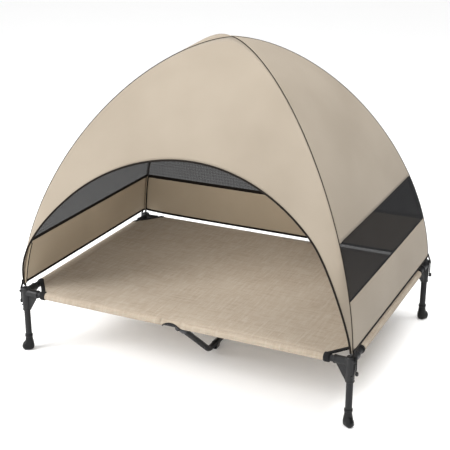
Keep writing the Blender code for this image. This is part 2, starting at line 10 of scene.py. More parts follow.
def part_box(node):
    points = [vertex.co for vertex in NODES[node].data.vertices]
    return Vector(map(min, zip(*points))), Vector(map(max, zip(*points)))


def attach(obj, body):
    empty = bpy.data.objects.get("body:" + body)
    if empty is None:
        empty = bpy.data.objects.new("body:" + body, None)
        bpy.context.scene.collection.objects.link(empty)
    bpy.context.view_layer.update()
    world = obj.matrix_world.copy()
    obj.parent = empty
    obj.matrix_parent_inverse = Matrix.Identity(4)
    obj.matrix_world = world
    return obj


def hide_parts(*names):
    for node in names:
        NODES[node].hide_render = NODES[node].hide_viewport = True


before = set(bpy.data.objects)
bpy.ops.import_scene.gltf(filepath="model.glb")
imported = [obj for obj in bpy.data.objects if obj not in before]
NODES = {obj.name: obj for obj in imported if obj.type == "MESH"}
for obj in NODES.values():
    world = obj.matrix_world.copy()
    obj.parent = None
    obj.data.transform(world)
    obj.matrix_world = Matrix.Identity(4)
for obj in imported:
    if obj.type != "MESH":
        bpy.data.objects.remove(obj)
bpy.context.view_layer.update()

CORNERS = {"front_left": (-1, -1), "front_right": (1, -1), "rear_left": (-1, 1), "rear_right": (1, 1)}


def middle(node):
    low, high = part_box(node)
    return (Vector(low) + Vector(high)) / 2


# Driving sizes, read from the frame
LEG_X = middle("leg_tube_front_right").x
LEG_Y = -middle("leg_tube_front_right").y
RAIL_Z = middle("left_rail").z
TUBE_R = 0.011
TUBE_WALL = 0.0012
RAILS = ("front_rail_left", "front_rail_right", "rear_rail_left", "rear_rail_right", "left_rail",
         "right_rail")
LEG_DIAGONAL = hypot(LEG_X, LEG_Y)
HEM_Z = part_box("canopy_band_rear")[0][2]
WINDOW_LOW_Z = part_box("mesh_window_rear")[0][2]
WINDOW_HIGH_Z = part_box("mesh_window_rear")[1][2]
CROWN_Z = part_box("canopy_roof_rear")[1][2]
DECK_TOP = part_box("bed_sling")[1][2]
CANOPY_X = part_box("canopy_band_right")[1][0]

# Canopy shape
ARCH_POWER = 1.7
CLOTH_MIDDLE = 0.0009  # from the cloth's outer face to the middle of its thickness
ARCH_BASE_Z = 0.243  # where the arches would stand upright, just below the hem
REACH = CANOPY_X * LEG_DIAGONAL / LEG_X - CLOTH_MIDDLE
RISE = CROWN_Z - ARCH_BASE_Z - CLOTH_MIDDLE
RIDGE_ROUNDING = 0.0026  # how far the cloth is drawn in over a pole
RIDGE_WIDTH = 0.016
REAR_HEM_DROP = 0.0065  # how far the rear hem hangs below the line between its two corners
PUFF_HEIGHT = 0.0105  # spare cloth that stands up behind the crown
PUFF_TURN = radians(81)
PUFF_SPREAD = radians(9.2)
DOOR_HALF = 0.600
DOOR_TOP_Z = 0.7475
DOOR_POWER = 1.8
DOOR_STRIP = 0.0060  # least width of cloth between the door and the pole seam
FLARE = 0.029  # how far the door's edge stands forward where it leans out most
FLARE_TOP_Z = 0.560
FLARE_EASING = 0.12  # rounds off the place where the flare ends, as a share of it
POLE_POWER = 1.67
POLE_R = 0.0035
POLE_BASE_Z = 0.240
POLE_RISE = 0.8532
POLE_CROSSING = 0.0078
SLEEVE_HEM_Z = 0.2560
SLEEVE_TOP_Z = 1.075
SLEEVE_STEPS = 160
SLEEVE_PIPING_IN = 0.0036  # from the pole's axis to the piping on the inner side of a low sleeve
SLEEVE_PIPING_R = 0.0028


# ---------------------------------------------------------------- node materials

class Nodes:
    """Short way to build the nodes of a new material, from its name, or of the world."""

    def __init__(self, owner, shader="Principled BSDF"):
        self.owner = bpy.data.materials.new(owner) if isinstance(owner, str) else owner
        self.owner.use_nodes = True
        self.tree = self.owner.node_tree
        self.shader = self.tree.nodes[shader]

    def add(self, kind, settings=None, **inputs):
        node = self.tree.nodes.new(kind)
        for key, value in (settings or {}).items():
            setattr(node, key, value)
        for key, value in inputs.items():
            self.give(node.inputs[key.replace("_", " ")], value)
        return node

    def give(self, socket, value):
        if isinstance(value, bpy.types.NodeSocket):
            self.tree.links.new(value, socket)
        elif isinstance(value, tuple) and len(value) == 3 and socket.type == "RGBA":
            socket.default_value = (*value, 1.0)
        else:
            socket.default_value = value

    def body(self):
        """Place on the object, in metres."""
        return self.add("ShaderNodeTexCoord").outputs["Object"]

    def cloth(self):
        """Place on the flat cloth, in metres."""
        return self.add("ShaderNodeUVMap").outputs["UV"]

    def math(self, operation, *values):
        node = self.add("ShaderNodeMath", {"operation": operation})
        for socket, value in zip(node.inputs, values):
            self.give(socket, value)
        return node.outputs[0]

    def mix(self, share, first, second):
        node = self.add("ShaderNodeMix", {"data_type": "RGBA"})
        self.give(node.inputs[0], share)
        self.give(node.inputs[6], first)
        self.give(node.inputs[7], second)
        return node.outputs[2]

    def tint(self, tone, pattern, share, other):
        """The tone, turned by a share towards another where the pattern is high."""
        return self.mix(self.math("MULTIPLY", pattern, share), tone, other)

    def noise(self, where, scale, detail=2.0, rough=0.5):
        node = self.add("ShaderNodeTexNoise", Scale=scale, Detail=detail, Roughness=rough)
        self.give(node.inputs["Vector"], where)
        return node.outputs["Fac"]

    def ramp(self, value, low, high):
        node = self.add("ShaderNodeMapRange", {"interpolation_type": "SMOOTHSTEP"})
        for key, number in (("Value", value), ("From Min", low), ("From Max", high)):
            self.give(node.inputs[key], number)
        return node.outputs["Result"]

    def stretched(self, where, scale):
        node = self.add("ShaderNodeMapping")
        self.give(node.inputs["Vector"], where)
        node.inputs["Scale"].default_value = scale
        return node.outputs["Vector"]

    def bump(self, height, distance, strength=1.0, under=None):
        node = self.add("ShaderNodeBump", Strength=strength, Distance=distance)
        self.give(node.inputs["Height"], height)
        if under is not None:
            self.give(node.inputs["Normal"], under)
        return node.outputs["Normal"]

    def finish(self, colour, roughness, normal=None, **plain):
        self.give(self.shader.inputs["Base Color"], colour)
        self.give(self.shader.inputs["Roughness"], roughness)
        if normal is not None:
            self.give(self.shader.inputs["Normal"], normal)
        for key, value in plain.items():
            self.give(self.shader.inputs[key.replace("_", " ")], value)
        return self.owner


def linear(red, green, blue):
    """Linear colour of an sRGB colour given from 0 to 255."""
    def channel(value):
        value /= 255
        return value / 12.92 if value <= 0.04045 else ((value + 0.055) / 1.055) ** 2.4
    return (channel(red), channel(green), channel(blue))


def brighter(colour, times):
    return tuple(min(1.0, times * part) for part in colour)


def weave(nodes, where, pitch):
    """Plain weave: heights of the crossing yarns, from 0 to 1, and which set is on top."""
    split = nodes.add("ShaderNodeSeparateXYZ")
    nodes.give(split.inputs[0], where)
    turns = [nodes.math("MULTIPLY", split.outputs[k], pi / pitch) for k in (0, 1)]
    waves = [nodes.math("SINE", turn) for turn in turns]
    crossing = nodes.math("MULTIPLY", waves[0], waves[1])
    ridges = [nodes.math("ABSOLUTE", wave) for wave in waves]
    on_top = nodes.ramp(crossing, -0.25, 0.25)
    height = nodes.add("ShaderNodeMix", {"data_type": "FLOAT"})
    nodes.give(height.inputs[0], on_top)
    nodes.give(height.inputs[2], ridges[0])
    nodes.give(height.inputs[3], ridges[1])
    return height.outputs[0], on_top


def canopy_cloth(name, colour, shade):
    nodes = Nodes(name)
    where = nodes.cloth()
    body = nodes.body()
    height, on_top = weave(nodes, where, 0.0011)
    slub = nodes.noise(nodes.stretched(where, (18, 900, 1)), 1.0, 3)
    cloud = nodes.noise(body, 3.2, 3)
    wear = nodes.noise(body, 60, 4, 0.6)
    tone = nodes.mix(nodes.ramp(cloud, 0.3, 0.7), colour, shade)
    tone = nodes.tint(tone, on_top, 0.10, shade)
    tone = nodes.tint(tone, slub, 0.16, shade)
    rough = nodes.math("MULTIPLY_ADD", wear, 0.12, 0.72)
    fine = nodes.bump(height, 0.00025, 0.55)
    crinkle = nodes.bump(nodes.noise(body, 24, 3), 0.0012, 0.18, fine)
    return nodes.finish(tone, rough, crinkle, Sheen_Weight=0.08, Sheen_Roughness=0.5, Specular_IOR_Level=0.2)


def sling_textile():
    """Coarse two-tone weave, with yarns that vary along the bed and across it."""
    nodes = Nodes("sling_textile")
    where = nodes.cloth()
    height, on_top = weave(nodes, where, 0.0021)
    along = nodes.noise(nodes.stretched(where, (7, 420, 1)), 1.0, 4, 0.65)
    across = nodes.noise(nodes.stretched(where, (420, 7, 1)), 1.0, 4, 0.65)
    cloud = nodes.noise(where, 5, 3)
    light, mean, dark = linear(171, 161, 146), linear(157, 144, 128), linear(125, 110, 92)
    warp = nodes.mix(nodes.ramp(along, 0.34, 0.66), dark, light)
    weft = nodes.mix(nodes.ramp(across, 0.34, 0.66), dark, light)
    yarn = nodes.mix(on_top, warp, weft)
    tone = nodes.mix(0.50, yarn, mean)
    slubs = nodes.noise(nodes.stretched(where, (14, 110, 1)), 1.0, 3, 0.6)
    picks = nodes.noise(nodes.stretched(where, (110, 14, 1)), 1.0, 3, 0.6)
    tone = nodes.tint(tone, nodes.ramp(slubs, 0.45, 0.70), 0.40, dark)
    tone = nodes.tint(tone, nodes.ramp(picks, 0.45, 0.70), 0.40, light)
    tone = nodes.tint(tone, nodes.ramp(cloud, 0.35, 0.7), 0.22, light)
    fine = nodes.bump(height, 0.0006, 0.65)
    slub = nodes.bump(along, 0.0008, 0.25, fine)
    return nodes.finish(tone, 0.86, slub, Sheen_Weight=0.06, Sheen_Roughness=0.6, Specular_IOR_Level=0.2)


def window_net(name, yarn, openness):
    """Fine net: a share of each thread's cell is open, and less of it along each heavier thread."""
    nodes = Nodes(name)
    where = nodes.cloth()
    height, _ = weave(nodes, where, 0.0032)
    coarse, _ = weave(nodes, where, 0.0128)
    shade = nodes.noise(where, 9, 3)
    tone = nodes.mix(nodes.ramp(shade, 0.3, 0.7), yarn, brighter(yarn, 1.5))
    # painted highlight: the crests of the fine threads, and more so of the heavier threads, are painted paler
    tone = nodes.tint(tone, height, 0.4, brighter(yarn, 2.6))
    tone = nodes.tint(tone, coarse, 0.28, brighter(yarn, 4.0))
    cell = nodes.math("ADD", nodes.math("MULTIPLY", height, 0.8), nodes.math("MULTIPLY", coarse, 0.2))
    closed = nodes.add("ShaderNodeMapRange", From_Max=0.8, To_Min=1.0 - 2.0 * openness,
                       To_Max=1.0 - 0.2 * openness)
    nodes.give(closed.inputs["Value"], cell)
    nodes.give(nodes.shader.inputs["Alpha"], closed.outputs["Result"])
    return nodes.finish(tone, 0.85, nodes.bump(height, 0.0005, 0.6), Specular_IOR_Level=0.12)


def coated_steel():
    nodes = Nodes("coated_steel")
    body = nodes.body()
    cloud = nodes.noise(body, 14, 3)
    grain = nodes.noise(body, 1300, 2)
    scuff = nodes.ramp(nodes.noise(nodes.stretched(body, (60, 60, 400)), 1.0, 4), 0.66, 0.74)
    tone = nodes.mix(cloud, linear(27, 27, 28), linear(36, 36, 38))
    tone = nodes.tint(tone, scuff, 0.2, linear(66, 66, 68))
    rough = nodes.math("MULTIPLY_ADD", cloud, 0.16, 0.40)
    return nodes.finish(tone, rough, nodes.bump(grain, 0.00012, 0.35), Specular_IOR_Level=0.18)


def moulded(name, low, high, roughness, grain_depth=0.0002, specular=0.3):
    nodes = Nodes(name)
    body = nodes.body()
    cloud = nodes.noise(body, 38, 3)
    grain = nodes.noise(body, 1800, 2)
    dust = nodes.ramp(nodes.noise(body, 170, 5, 0.7), 0.56, 0.78)
    tone = nodes.mix(cloud, low, high)
    tone = nodes.tint(tone, dust, 0.18, brighter(high, 2.2))
    rough = nodes.math("MULTIPLY_ADD", cloud, 0.14, roughness - 0.07)
    return nodes.finish(tone, rough, nodes.bump(grain, grain_depth, 0.4), Specular_IOR_Level=specular)


def plated(name, low, high):
    nodes = Nodes(name)
    body = nodes.body()
    cloud = nodes.noise(body, 220, 4, 0.6)
    tone = nodes.mix(cloud, low, high)
    rough = nodes.math("MULTIPLY_ADD", cloud, 0.25, 0.22)
    return nodes.finish(tone, rough, nodes.bump(cloud, 0.0001, 0.3), Metallic=1.0)


def glass_rod():
    nodes = Nodes("fibreglass_rod")
    body = nodes.body()
    streak = nodes.noise(nodes.stretched(body, (700, 700, 40)), 1.0, 3)
    tone = nodes.mix(streak, linear(26, 26, 28), linear(44, 44, 46))
    return nodes.finish(tone, 0.32, nodes.bump(streak, 0.0001, 0.3), Coat_Weight=0.2)


def tape(name, low, high, pitch):
    """Ribbed woven tape, with ribs across its length, which runs along the second UV axis."""
    nodes = Nodes(name)
    where = nodes.cloth()
    height, _ = weave(nodes, where, pitch)
    # painted shade: the hollows between the ribs are painted darker and their crests paler
    tone = nodes.mix(nodes.math("MULTIPLY_ADD", height, 0.5, 0.15), low, high)
    tone = nodes.tint(tone, nodes.noise(nodes.body(), 45, 3), 0.3, high)
    return nodes.finish(tone, 0.85, nodes.bump(height, 0.0003, 0.6), Specular_IOR_Level=0.15)


def thread(name, colour, shade):
    nodes = Nodes(name)
    body = nodes.body()
    twist = nodes.noise(body, 2500, 2)
    return nodes.finish(nodes.mix(twist, colour, shade), 0.6, nodes.bump(twist, 0.0001, 0.4))


MATERIALS = {
    "cloth": canopy_cloth("canopy_cloth", linear(146, 136, 122), linear(137, 127, 113)),
    # the canopy's inside is the same cloth painted paler: painted light that stands in for light coming
    # through the cloth
    "lit_inside": canopy_cloth("canopy_lit_inside", linear(178, 164, 143), linear(170, 156, 135)),
    "sling": sling_textile(),
    "net": window_net("window_net", linear(15, 15, 16), 0.10),
    "steel": coated_steel(),
    "nylon": moulded("black_nylon", linear(14, 14, 15), linear(22, 22, 23), 0.44),
    "grey": moulded("grey_nylon", linear(52, 52, 54), linear(66, 66, 68), 0.50),
    "rubber": moulded("black_rubber", linear(11, 11, 12), linear(18, 18, 19), 0.30, 0.0002, 0.2),
    "zinc": plated("zinc_plate", linear(150, 150, 152), linear(196, 196, 196)),
    "black_plate": plated("black_zinc_plate", linear(52, 52, 54), linear(78, 78, 80)),
    "rod": glass_rod(),
    "piping": tape("piping_tape", linear(16, 13, 11), linear(32, 27, 22), 0.0012),
    "webbing": tape("black_webbing", linear(15, 15, 16), linear(32, 32, 33), 0.0018),
    "beige_thread": thread("beige_thread", linear(150, 136, 117), linear(127, 113, 94)),
}


# ---------------------------------------------------------------- mesh helpers

DOME_CENTRE = Vector((0, 0, 0.35))
END_BULGE = 0.4  # how far a tube's round end stands out, as a share of its radius


def piece(name, mesh, finish, body, replaced=(), soft_edge=None):
    """A visible piece in the row frame, with its material, its body and the CAD nodes that it stands for."""
    made = bpy.data.objects.new(name, mesh)
    bpy.context.scene.collection.objects.link(made)
    # cloth pieces take the paler inside tone on their inner faces: painted light
    inner = [face.material_index for face in mesh.polygons] if finish == "cloth" else None
    mesh.materials.clear()
    mesh.materials.append(MATERIALS[finish])
    if inner:
        mesh.materials.append(MATERIALS["lit_inside"])
        mesh.polygons.foreach_set("material_index", inner)
    if soft_edge:
        mesh.shade_smooth()
        mesh.set_sharp_from_angle(angle=radians(soft_edge))
    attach(made, body)
    if replaced:
        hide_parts(*replaced)
    return made


def mesh_from(points, faces, coordinates=None):
    """Mesh with its faces turned outward as one. coordinates gives each point's UV in metres."""
    mesh = bpy.data.meshes.new("shape")
    mesh.from_pydata([tuple(point) for point in points], [], faces)
    if coordinates is not None:
        layer = mesh.uv_layers.new(name="metres")
        for loop in mesh.loops:
            layer.data[loop.index].uv = coordinates[loop.vertex_index]
    shape = bmesh.new()
    shape.from_mesh(mesh)
    bmesh.ops.recalc_face_normals(shape, faces=shape.faces)
    shape.to_mesh(mesh)
    shape.free()
    mesh.shade_smooth()
    return mesh


def mesh_of(shape):
    """The mesh of a bmesh, which is freed."""
    result = bpy.data.meshes.new("shape")
    shape.to_mesh(result)
    shape.free()
    result.shade_smooth()
    return result


def ring_faces(levels, sides, closed=False):
    """Quads between neighbouring rings of points, and from the last ring to the first where closed."""
    faces = []
    for level in range(levels if closed else levels - 1):
        here, there = level * sides, (level + 1) % levels * sides
        for k in range(sides):
            n = (k + 1) % sides
            faces.append((here + k, here + n, there + n, there + k))
    return faces


def end_faces(count, sides):
    """The two flat ends of a stack of rings that holds this many points."""
    return [tuple(range(sides)), tuple(range(count - sides, count))]


def grid_of(levels, columns, cell):
    """Rows of points and rows of their UVs, from a function of the row and the column that gives both."""
    cells = [[cell(r, c) for c in range(columns + 1)] for r in range(levels + 1)]
    return [[point for point, _ in row] for row in cells], [[uv for _, uv in row] for row in cells]


def grid_mesh(rows, coordinates):
    """Open sheet through rows of equally many points."""
    columns = len(rows[0])
    faces = []
    for r in range(len(rows) - 1):
        for c in range(columns - 1):
            a = r * columns + c
            faces.append((a, a + 1, a + 1 + columns, a + columns))
    return mesh_from([p for row in rows for p in row], faces, [uv for row in coordinates for uv in row])


def modified(mesh, *steps):
    """The mesh after its modifiers, each given as its kind and its settings."""
    holder = bpy.data.objects.new("modified", mesh)
    bpy.context.scene.collection.objects.link(holder)
    for kind, settings in steps:
        step = holder.modifiers.new(kind.lower(), kind)
        for key, value in settings.items():
            setattr(step, key, value)
    bpy.context.view_layer.update()
    result = bpy.data.meshes.new_from_object(holder.evaluated_get(bpy.context.evaluated_depsgraph_get()))
    bpy.data.objects.remove(holder)
    return result


def thickened(mesh, thickness):
    """Closed solid of a sheet, with half the thickness on each side."""
    return modified(mesh, ("SOLIDIFY", {"thickness": thickness, "offset": 0, "use_even_offset": True}))


def axes_across(direction):
    helper = Vector((0, 0, 1)) if abs(direction.z) < 0.9 else Vector((1, 0, 0))
    u = direction.cross(helper).normalized()
    return u, direction.cross(u)


def frames_along(path):
    """For each point of a path, two axes across it that don't twist."""
    tangents = []
    for k in range(len(path)):
        tangents.append((path[min(k + 1, len(path) - 1)] - path[max(k - 1, 0)]).normalized())
    side = axes_across(tangents[0])[0]
    found = []
    for tangent in tangents:
        side = (side - tangent * side.dot(tangent)).normalized()
        found.append((side, tangent.cross(side)))
    return found


def lengths_along(path):
    """Distance along a path at each of its points."""
    lengths = [0.0]
    for a, b in zip(path, path[1:]):
        lengths.append(lengths[-1] + (b - a).length)
    return lengths


def tube_along(path, radius, sides=10, flatten=1.0, round_ends=True):
    """Closed tube on a path. radius is a number or a function of the share of the length."""
    lengths = lengths_along(path)
    points, coordinates = [], []
    for point, (u, v), length in zip(path, frames_along(path), lengths):
        share = length / lengths[-1]
        r = radius(share) if callable(radius) else radius
        for k in range(sides):
            turn = 2 * pi * k / sides
            points.append(point + u * (r * cos(turn)) + v * (r * flatten * sin(turn)))
            coordinates.append((r * turn, length))
    faces = ring_faces(len(path), sides)
    last = len(points) - sides
    for start, direction in ((0, path[0] - path[1]), (last, path[-1] - path[-2])):
        centre = sum((points[start + k] for k in range(sides)), Vector()) / sides
        bulge = (points[start] - centre).length * (END_BULGE if round_ends else 0.0)
        points.append(centre + direction.normalized() * bulge)
        coordinates.append((0.0, coordinates[start][1]))
        tip = len(points) - 1
        faces += [(start + k, start + (k + 1) % sides, tip) for k in range(sides)]
    return mesh_from(points, faces, coordinates)


def turned(profile, sides, start=(0, 0, 0), direction=(0, 0, 1), ring=False):
    """Turned solid from (radius, distance along the axis) pairs. With ring, the profile closes on itself."""
    origin, along = Vector(start), Vector(direction).normalized()
    u, v = axes_across(along)
    points, coordinates = [], []
    for radius, height in profile:
        for k in range(sides):
            turn = 2 * pi * k / sides
            points.append(origin + along * height + u * (radius * cos(turn)) + v * (radius * sin(turn)))
            coordinates.append((radius * turn, height))
    faces = ring_faces(len(profile), sides, closed=ring)
    if not ring:
        faces += end_faces(len(points), sides)
    return mesh_from(points, faces, coordinates)


def moved(mesh, matrix):
    copy = mesh.copy()
    copy.transform(matrix)
    if matrix.determinant() < 0:
        copy.flip_normals()
    return copy


def at_corner(mesh, corner, mirror_x=False, mirror_y=False):
    """Copy of a mesh that was made on the origin's axis, on a leg's axis, mirrored outward where asked."""
    sx, sy = CORNERS[corner]
    place = Matrix.Translation((sx * LEG_X, sy * LEG_Y, 0))
    return moved(mesh, place @ Matrix.Diagonal((sx if mirror_x else 1, sy if mirror_y else 1, 1, 1)))


def joined(meshes, weld=0.0):
    """One mesh holding all of these, UVs included. Points within the weld distance become one."""
    whole = bmesh.new()
    for mesh in meshes:
        whole.from_mesh(mesh)
    if weld:
        bmesh.ops.remove_doubles(whole, verts=whole.verts, dist=weld)
        bmesh.ops.recalc_face_normals(whole, faces=whole.faces)
    return mesh_of(whole)


def resampled(path, spacing):
    """Points at an even spacing along a path."""
    out, carried = [path[0].copy()], 0.0
    for a, b in zip(path, path[1:]):
        span = (b - a).length
        while carried + span >= spacing and span > 0:
            a = a + (b - a) * ((spacing - carried) / span)
            out.append(a.copy())
            span = (b - a).length
            carried = 0.0
        carried += span
    return out


def with_lit_inside(mesh):
    """The cloth's inner skin takes the paler inside tone, which is the mesh's second material: painted light
    for the light that comes through the cloth.
    """
    for face in mesh.polygons:
        if face.normal.dot(face.center - DOME_CENTRE) < 0:
            face.material_index = 1
    return mesh


def stitches(path, away, spacing=0.0042, length=0.0030, radius=0.00035):
    """Row of short thread stitches on a path. away gives the direction off the cloth at a point."""
    meshes = bmesh.new()
    points = resampled(path, spacing)
    for a, b in zip(points, points[1:]):
        along = (b - a).normalized()
        off = away(a)
        side = along.cross(off).normalized()
        centre = (a + b) / 2 + off * (radius * 0.8)
        tips = [meshes.verts.new(centre + along * (sign * length / 2) - off * radius) for sign in (-1, 1)]
        waist = [meshes.verts.new(centre + side * (radius * s) + off * (radius * t))
                 for s, t in ((1, 0), (0, 1), (-1, 0), (0, -1))]
        for k in range(4):
            pair = (waist[k], waist[(k + 1) % 4])
            meshes.faces.new((*pair, tips[1]))
            meshes.faces.new((pair[1], pair[0], tips[0]))
    bmesh.ops.recalc_face_normals(meshes, faces=meshes.faces)
    return mesh_of(meshes)


def tape_along(path, width, thickness, off, corner=0.35):
    """Folded tape on a path. off gives the direction through it at a point, and corner rounds its edges."""
    outline = []
    for k in range(16):
        turn = 2 * pi * k / 16
        across = (abs(cos(turn)) ** corner) * (1 if cos(turn) >= 0 else -1)
        through = (abs(sin(turn)) ** corner) * (1 if sin(turn) >= 0 else -1)
        outline.append((across * width / 2, through * thickness / 2))
    points, coordinates = [], []
    for k, (point, run) in enumerate(zip(path, lengths_along(path))):
        along = (path[min(k + 1, len(path) - 1)] - path[max(k - 1, 0)]).normalized()
        up = off(point)
        up = (up - along * up.dot(along)).normalized()
        side = along.cross(up)
        for across, through in outline:
            points.append(point + side * across + up * through)
            coordinates.append((across + through, run))
    sides = len(outline)
    return mesh_from(points, ring_faces(len(path), sides) + end_faces(len(points), sides), coordinates)


# ---------------------------------------------------------------- canopy surface

def arch(turn):
    """Reach along the diagonal and height on an arch, from its base (0) to the crown (pi / 2)."""
    reach = REACH * max(cos(turn), 0.0) ** (2 / ARCH_POWER)
    return reach, ARCH_BASE_Z + RISE * max(sin(turn), 0.0) ** (2 / ARCH_POWER)


def turn_at(z):
    ratio = min(max((z - ARCH_BASE_Z) / RISE, 0.0), 1.0)
    return asin(ratio ** (ARCH_POWER / 2))


HEM_TURN = turn_at(HEM_Z)
WINDOW_LOW_TURN = turn_at(WINDOW_LOW_Z)
WINDOW_HIGH_TURN = turn_at(WINDOW_HIGH_Z)


def half_width(side, turn):
    reach = arch(turn)[0]
    return reach * (LEG_X if side in ("front", "rear") else LEG_Y) / LEG_DIAGONAL


def bow(side, share, turn):
    """The cloth's slight outward curve between the poles, and the puff of spare cloth behind the crown."""
    crown_fade = max(sin(2 * turn), 0.0) ** 1.5
    curve = 0.0035 * (1 - share * share) * crown_fade
    if side != "left":
        return curve
    place = (turn - PUFF_TURN) / PUFF_SPREAD
    return curve + PUFF_HEIGHT * (1 - share * share) ** 0.7 * max(1 - place * place, 0.0) ** 1.5


def hem_drop(side, share, turn):
    """How far the rear band's cloth hangs lower, most at its hem and nothing at its seams and its window."""
    if side != "rear":
        return 0.0
    height = (WINDOW_LOW_TURN - turn) / (WINDOW_LOW_TURN - HEM_TURN)
    return REAR_HEM_DROP * (1 - abs(share) ** 8) * min(max(height, 0.0), 1.0)


def canopy_point(side, share, turn, off=0.0):
    """Point on a gore. share runs from -1 to 1 between its two seams, and off is a distance off the cloth."""
    reach, z = arch(turn)
    slope = atan2(LEG_DIAGONAL * max(sin(turn), 1e-6) ** (2 - 2 / ARCH_POWER) / RISE,
                  max(cos(turn), 1e-6) ** (2 - 2 / ARCH_POWER))
    depth, width = (LEG_X, LEG_Y) if side in ("left", "right") else (LEG_Y, LEG_X)
    depth, width = reach * depth / LEG_DIAGONAL, reach * width / LEG_DIAGONAL
    edge = (1 - abs(share)) * width
    drawn_in = RIDGE_ROUNDING * max(0.0, 1 - edge / RIDGE_WIDTH) ** 2
    lift = off + bow(side, share, turn)
    flat_depth = depth + lift * cos(slope) - drawn_in * cos(slope) * 0.7
    flat_width = share * (width - drawn_in * cos(slope) * 0.7)
    z += (lift - drawn_in) * sin(slope) - hem_drop(side, share, turn)
    if side in ("left", "right"):
        return Vector((flat_depth if side == "right" else -flat_depth, flat_width, z))
    return Vector((flat_width, flat_depth if side == "rear" else -flat_depth, z))


def outward(side, turn):
    """Direction off a gore's cloth at a height."""
    here = canopy_point(side, 0.0, turn)
    there = canopy_point(side, 0.0, turn, 0.01)
    return (there - here).normalized()


def developed(side):
    """Distance along a gore's middle line from the arch's base, as a function of the turn."""
    count = 400
    depth = LEG_X if side in ("left", "right") else LEG_Y
    table, last = [0.0], None
    for k in range(count + 1):
        reach, z = arch(pi / 2 * k / count)
        here = (reach * depth / LEG_DIAGONAL, z)
        if last is not None:
            table.append(table[-1] + hypot(here[0] - last[0], here[1] - last[1]))
        last = here

    def length(turn):
        place = min(max(turn / (pi / 2), 0.0), 1.0) * count
        low = min(int(place), count - 1)
        return table[low] + (table[low + 1] - table[low]) * (place - low)
    return length


DEVELOPED = {side: developed(side) for side in ("front", "rear", "left", "right")}
SMOOTH_ROWS = 0.012  # spacing of the rows and columns of a canopy sheet


def ruffled(rows, amount):
    """Gives the inside of a sheet a faint undulation, leaving its edges where they are."""
    last_row, last_column = len(rows) - 1, len(rows[0]) - 1
    result = []
    for r, row in enumerate(rows):
        fresh = []
        for c, point in enumerate(row):
            rim = min(r, last_row - r, c, last_column - c)
            inside = min(rim / 6, 1.0)
            r0, r1 = rows[max(r - 1, 0)][c], rows[min(r + 1, last_row)][c]
            c0, c1 = row[max(c - 1, 0)], row[min(c + 1, last_column)]
            normal = (c1 - c0).cross(r1 - r0)
            normal = normal.normalized() if normal.length > 1e-12 else Vector((0, 0, 1))
            wave = noise.noise(point * 5.0) + 0.35 * noise.noise(point * 14.0)
            fresh.append(point + normal * (amount * inside * wave))
        result.append(fresh)
    return result


def gore_sheet(side, low, high):
    """Rows of points and UVs of part of a gore, between two turns."""
    length = DEVELOPED[side]
    count = max(3, ceil((length(high) - length(low)) / SMOOTH_ROWS))
    columns = max(8, ceil(2 * half_width(side, low) / (1.6 * SMOOTH_ROWS)))

    def cell(r, c):
        turn = low + (high - low) * r / count
        even = -1 + 2 * c / columns
        share = sin(even * pi / 2) * 0.5 + even * 0.5  # closer together towards the seams
        flat = (share * half_width(side, turn), length(turn) - hem_drop(side, share, turn))
        return canopy_point(side, share, turn), flat

    return grid_of(count, columns, cell)


def door_half(z):
    ratio = min(max((z - HEM_Z) / (DOOR_TOP_Z - HEM_Z), 0.0), 1.0)
    return DOOR_HALF * sqrt(1 - ratio ** DOOR_POWER)


def door_flare(z):
    """How far the door's edge stands forward of the gore at a height."""
    share = (z - HEM_Z) / (FLARE_TOP_Z - HEM_Z)
    wave = sin(pi * min(max(share, 0.0), 1.5))
    if share > 0.5:
        wave = (wave + sqrt(wave * wave + FLARE_EASING ** 2)) / 2
    return Vector((0, -FLARE * wave, 0))


def door_edge(count):
    """(x, height) along the door from the hem at the left, over its top, to the hem at the right."""
    left = []
    for k in range(count + 1):
        z = HEM_Z + (DOOR_TOP_Z - HEM_Z) * sin(pi / 2 * k / count)
        seam = half_width("front", turn_at(z))
        left.append((-min(door_half(z), seam - DOOR_STRIP), z))
    return left + [(-x, z) for x, z in reversed(left[:-1])]


def front_sheet():
    """Rows of points and UVs from the door's edge out to the seams."""
    count, rings = 60, 30
    edge = door_edge(count)
    length = DEVELOPED["front"]

    def cell(ring, k):
        x, z = edge[k]
        mix = ring / rings
        up = pi / 2 * 0.9995 * min(k, 2 * count - k) / count
        seam_z = HEM_Z + (ARCH_BASE_Z + RISE - HEM_Z) * sin(up)
        seam_x = half_width("front", turn_at(seam_z)) * ((k > count) - (k < count))
        height = z + (seam_z - z) * mix
        across = x + (seam_x - x) * mix
        turn = turn_at(height)
        share = across / max(half_width("front", turn), 1e-6)
        surface = canopy_point("front", min(max(share, -1.0), 1.0), turn)
        return surface + door_flare(height) * (1 - mix), (across, length(turn))

    return grid_of(rings, len(edge) - 1, cell)


def sheet_size(coordinates, rows):
    """Width, length and area of the flat cut of a gore piece, with its seam allowance."""
    us = [uv[0] for row in coordinates for uv in row]
    vs = [uv[1] for row in coordinates for uv in row]
    area = 0.0
    for r in range(len(rows) - 1):
        for c in range(len(rows[0]) - 1):
            a, b, d, e = rows[r][c], rows[r][c + 1], rows[r + 1][c + 1], rows[r + 1][c]
            area += ((b - a).cross(e - a).length + (b - d).cross(e - d).length) / 2
    rim = rows[0] + [row[-1] for row in rows[1:]] + rows[-1][-2::-1] + [row[0] for row in rows[-2:0:-1]]
    around = sum((b - a).length for a, b in zip(rim, rim[1:] + rim[:1]))
    size = (max(us) - min(us) + 2 * SEAM_ALLOWANCE, max(vs) - min(vs) + 2 * SEAM_ALLOWANCE)
    return size, area + around * SEAM_ALLOWANCE


CLOTH_THICKNESS = 0.0009
SEAM_ALLOWANCE = 0.014  # turned in round each cut piece, for its seams and hems


def declare_cloth(rows, coordinates):
    """Works out the size and area of a gore piece's flat cut with its seam allowance; nothing is done with
    them.
    """
    size, area = sheet_size(coordinates, rows)
    min(area, size[0] * size[1])


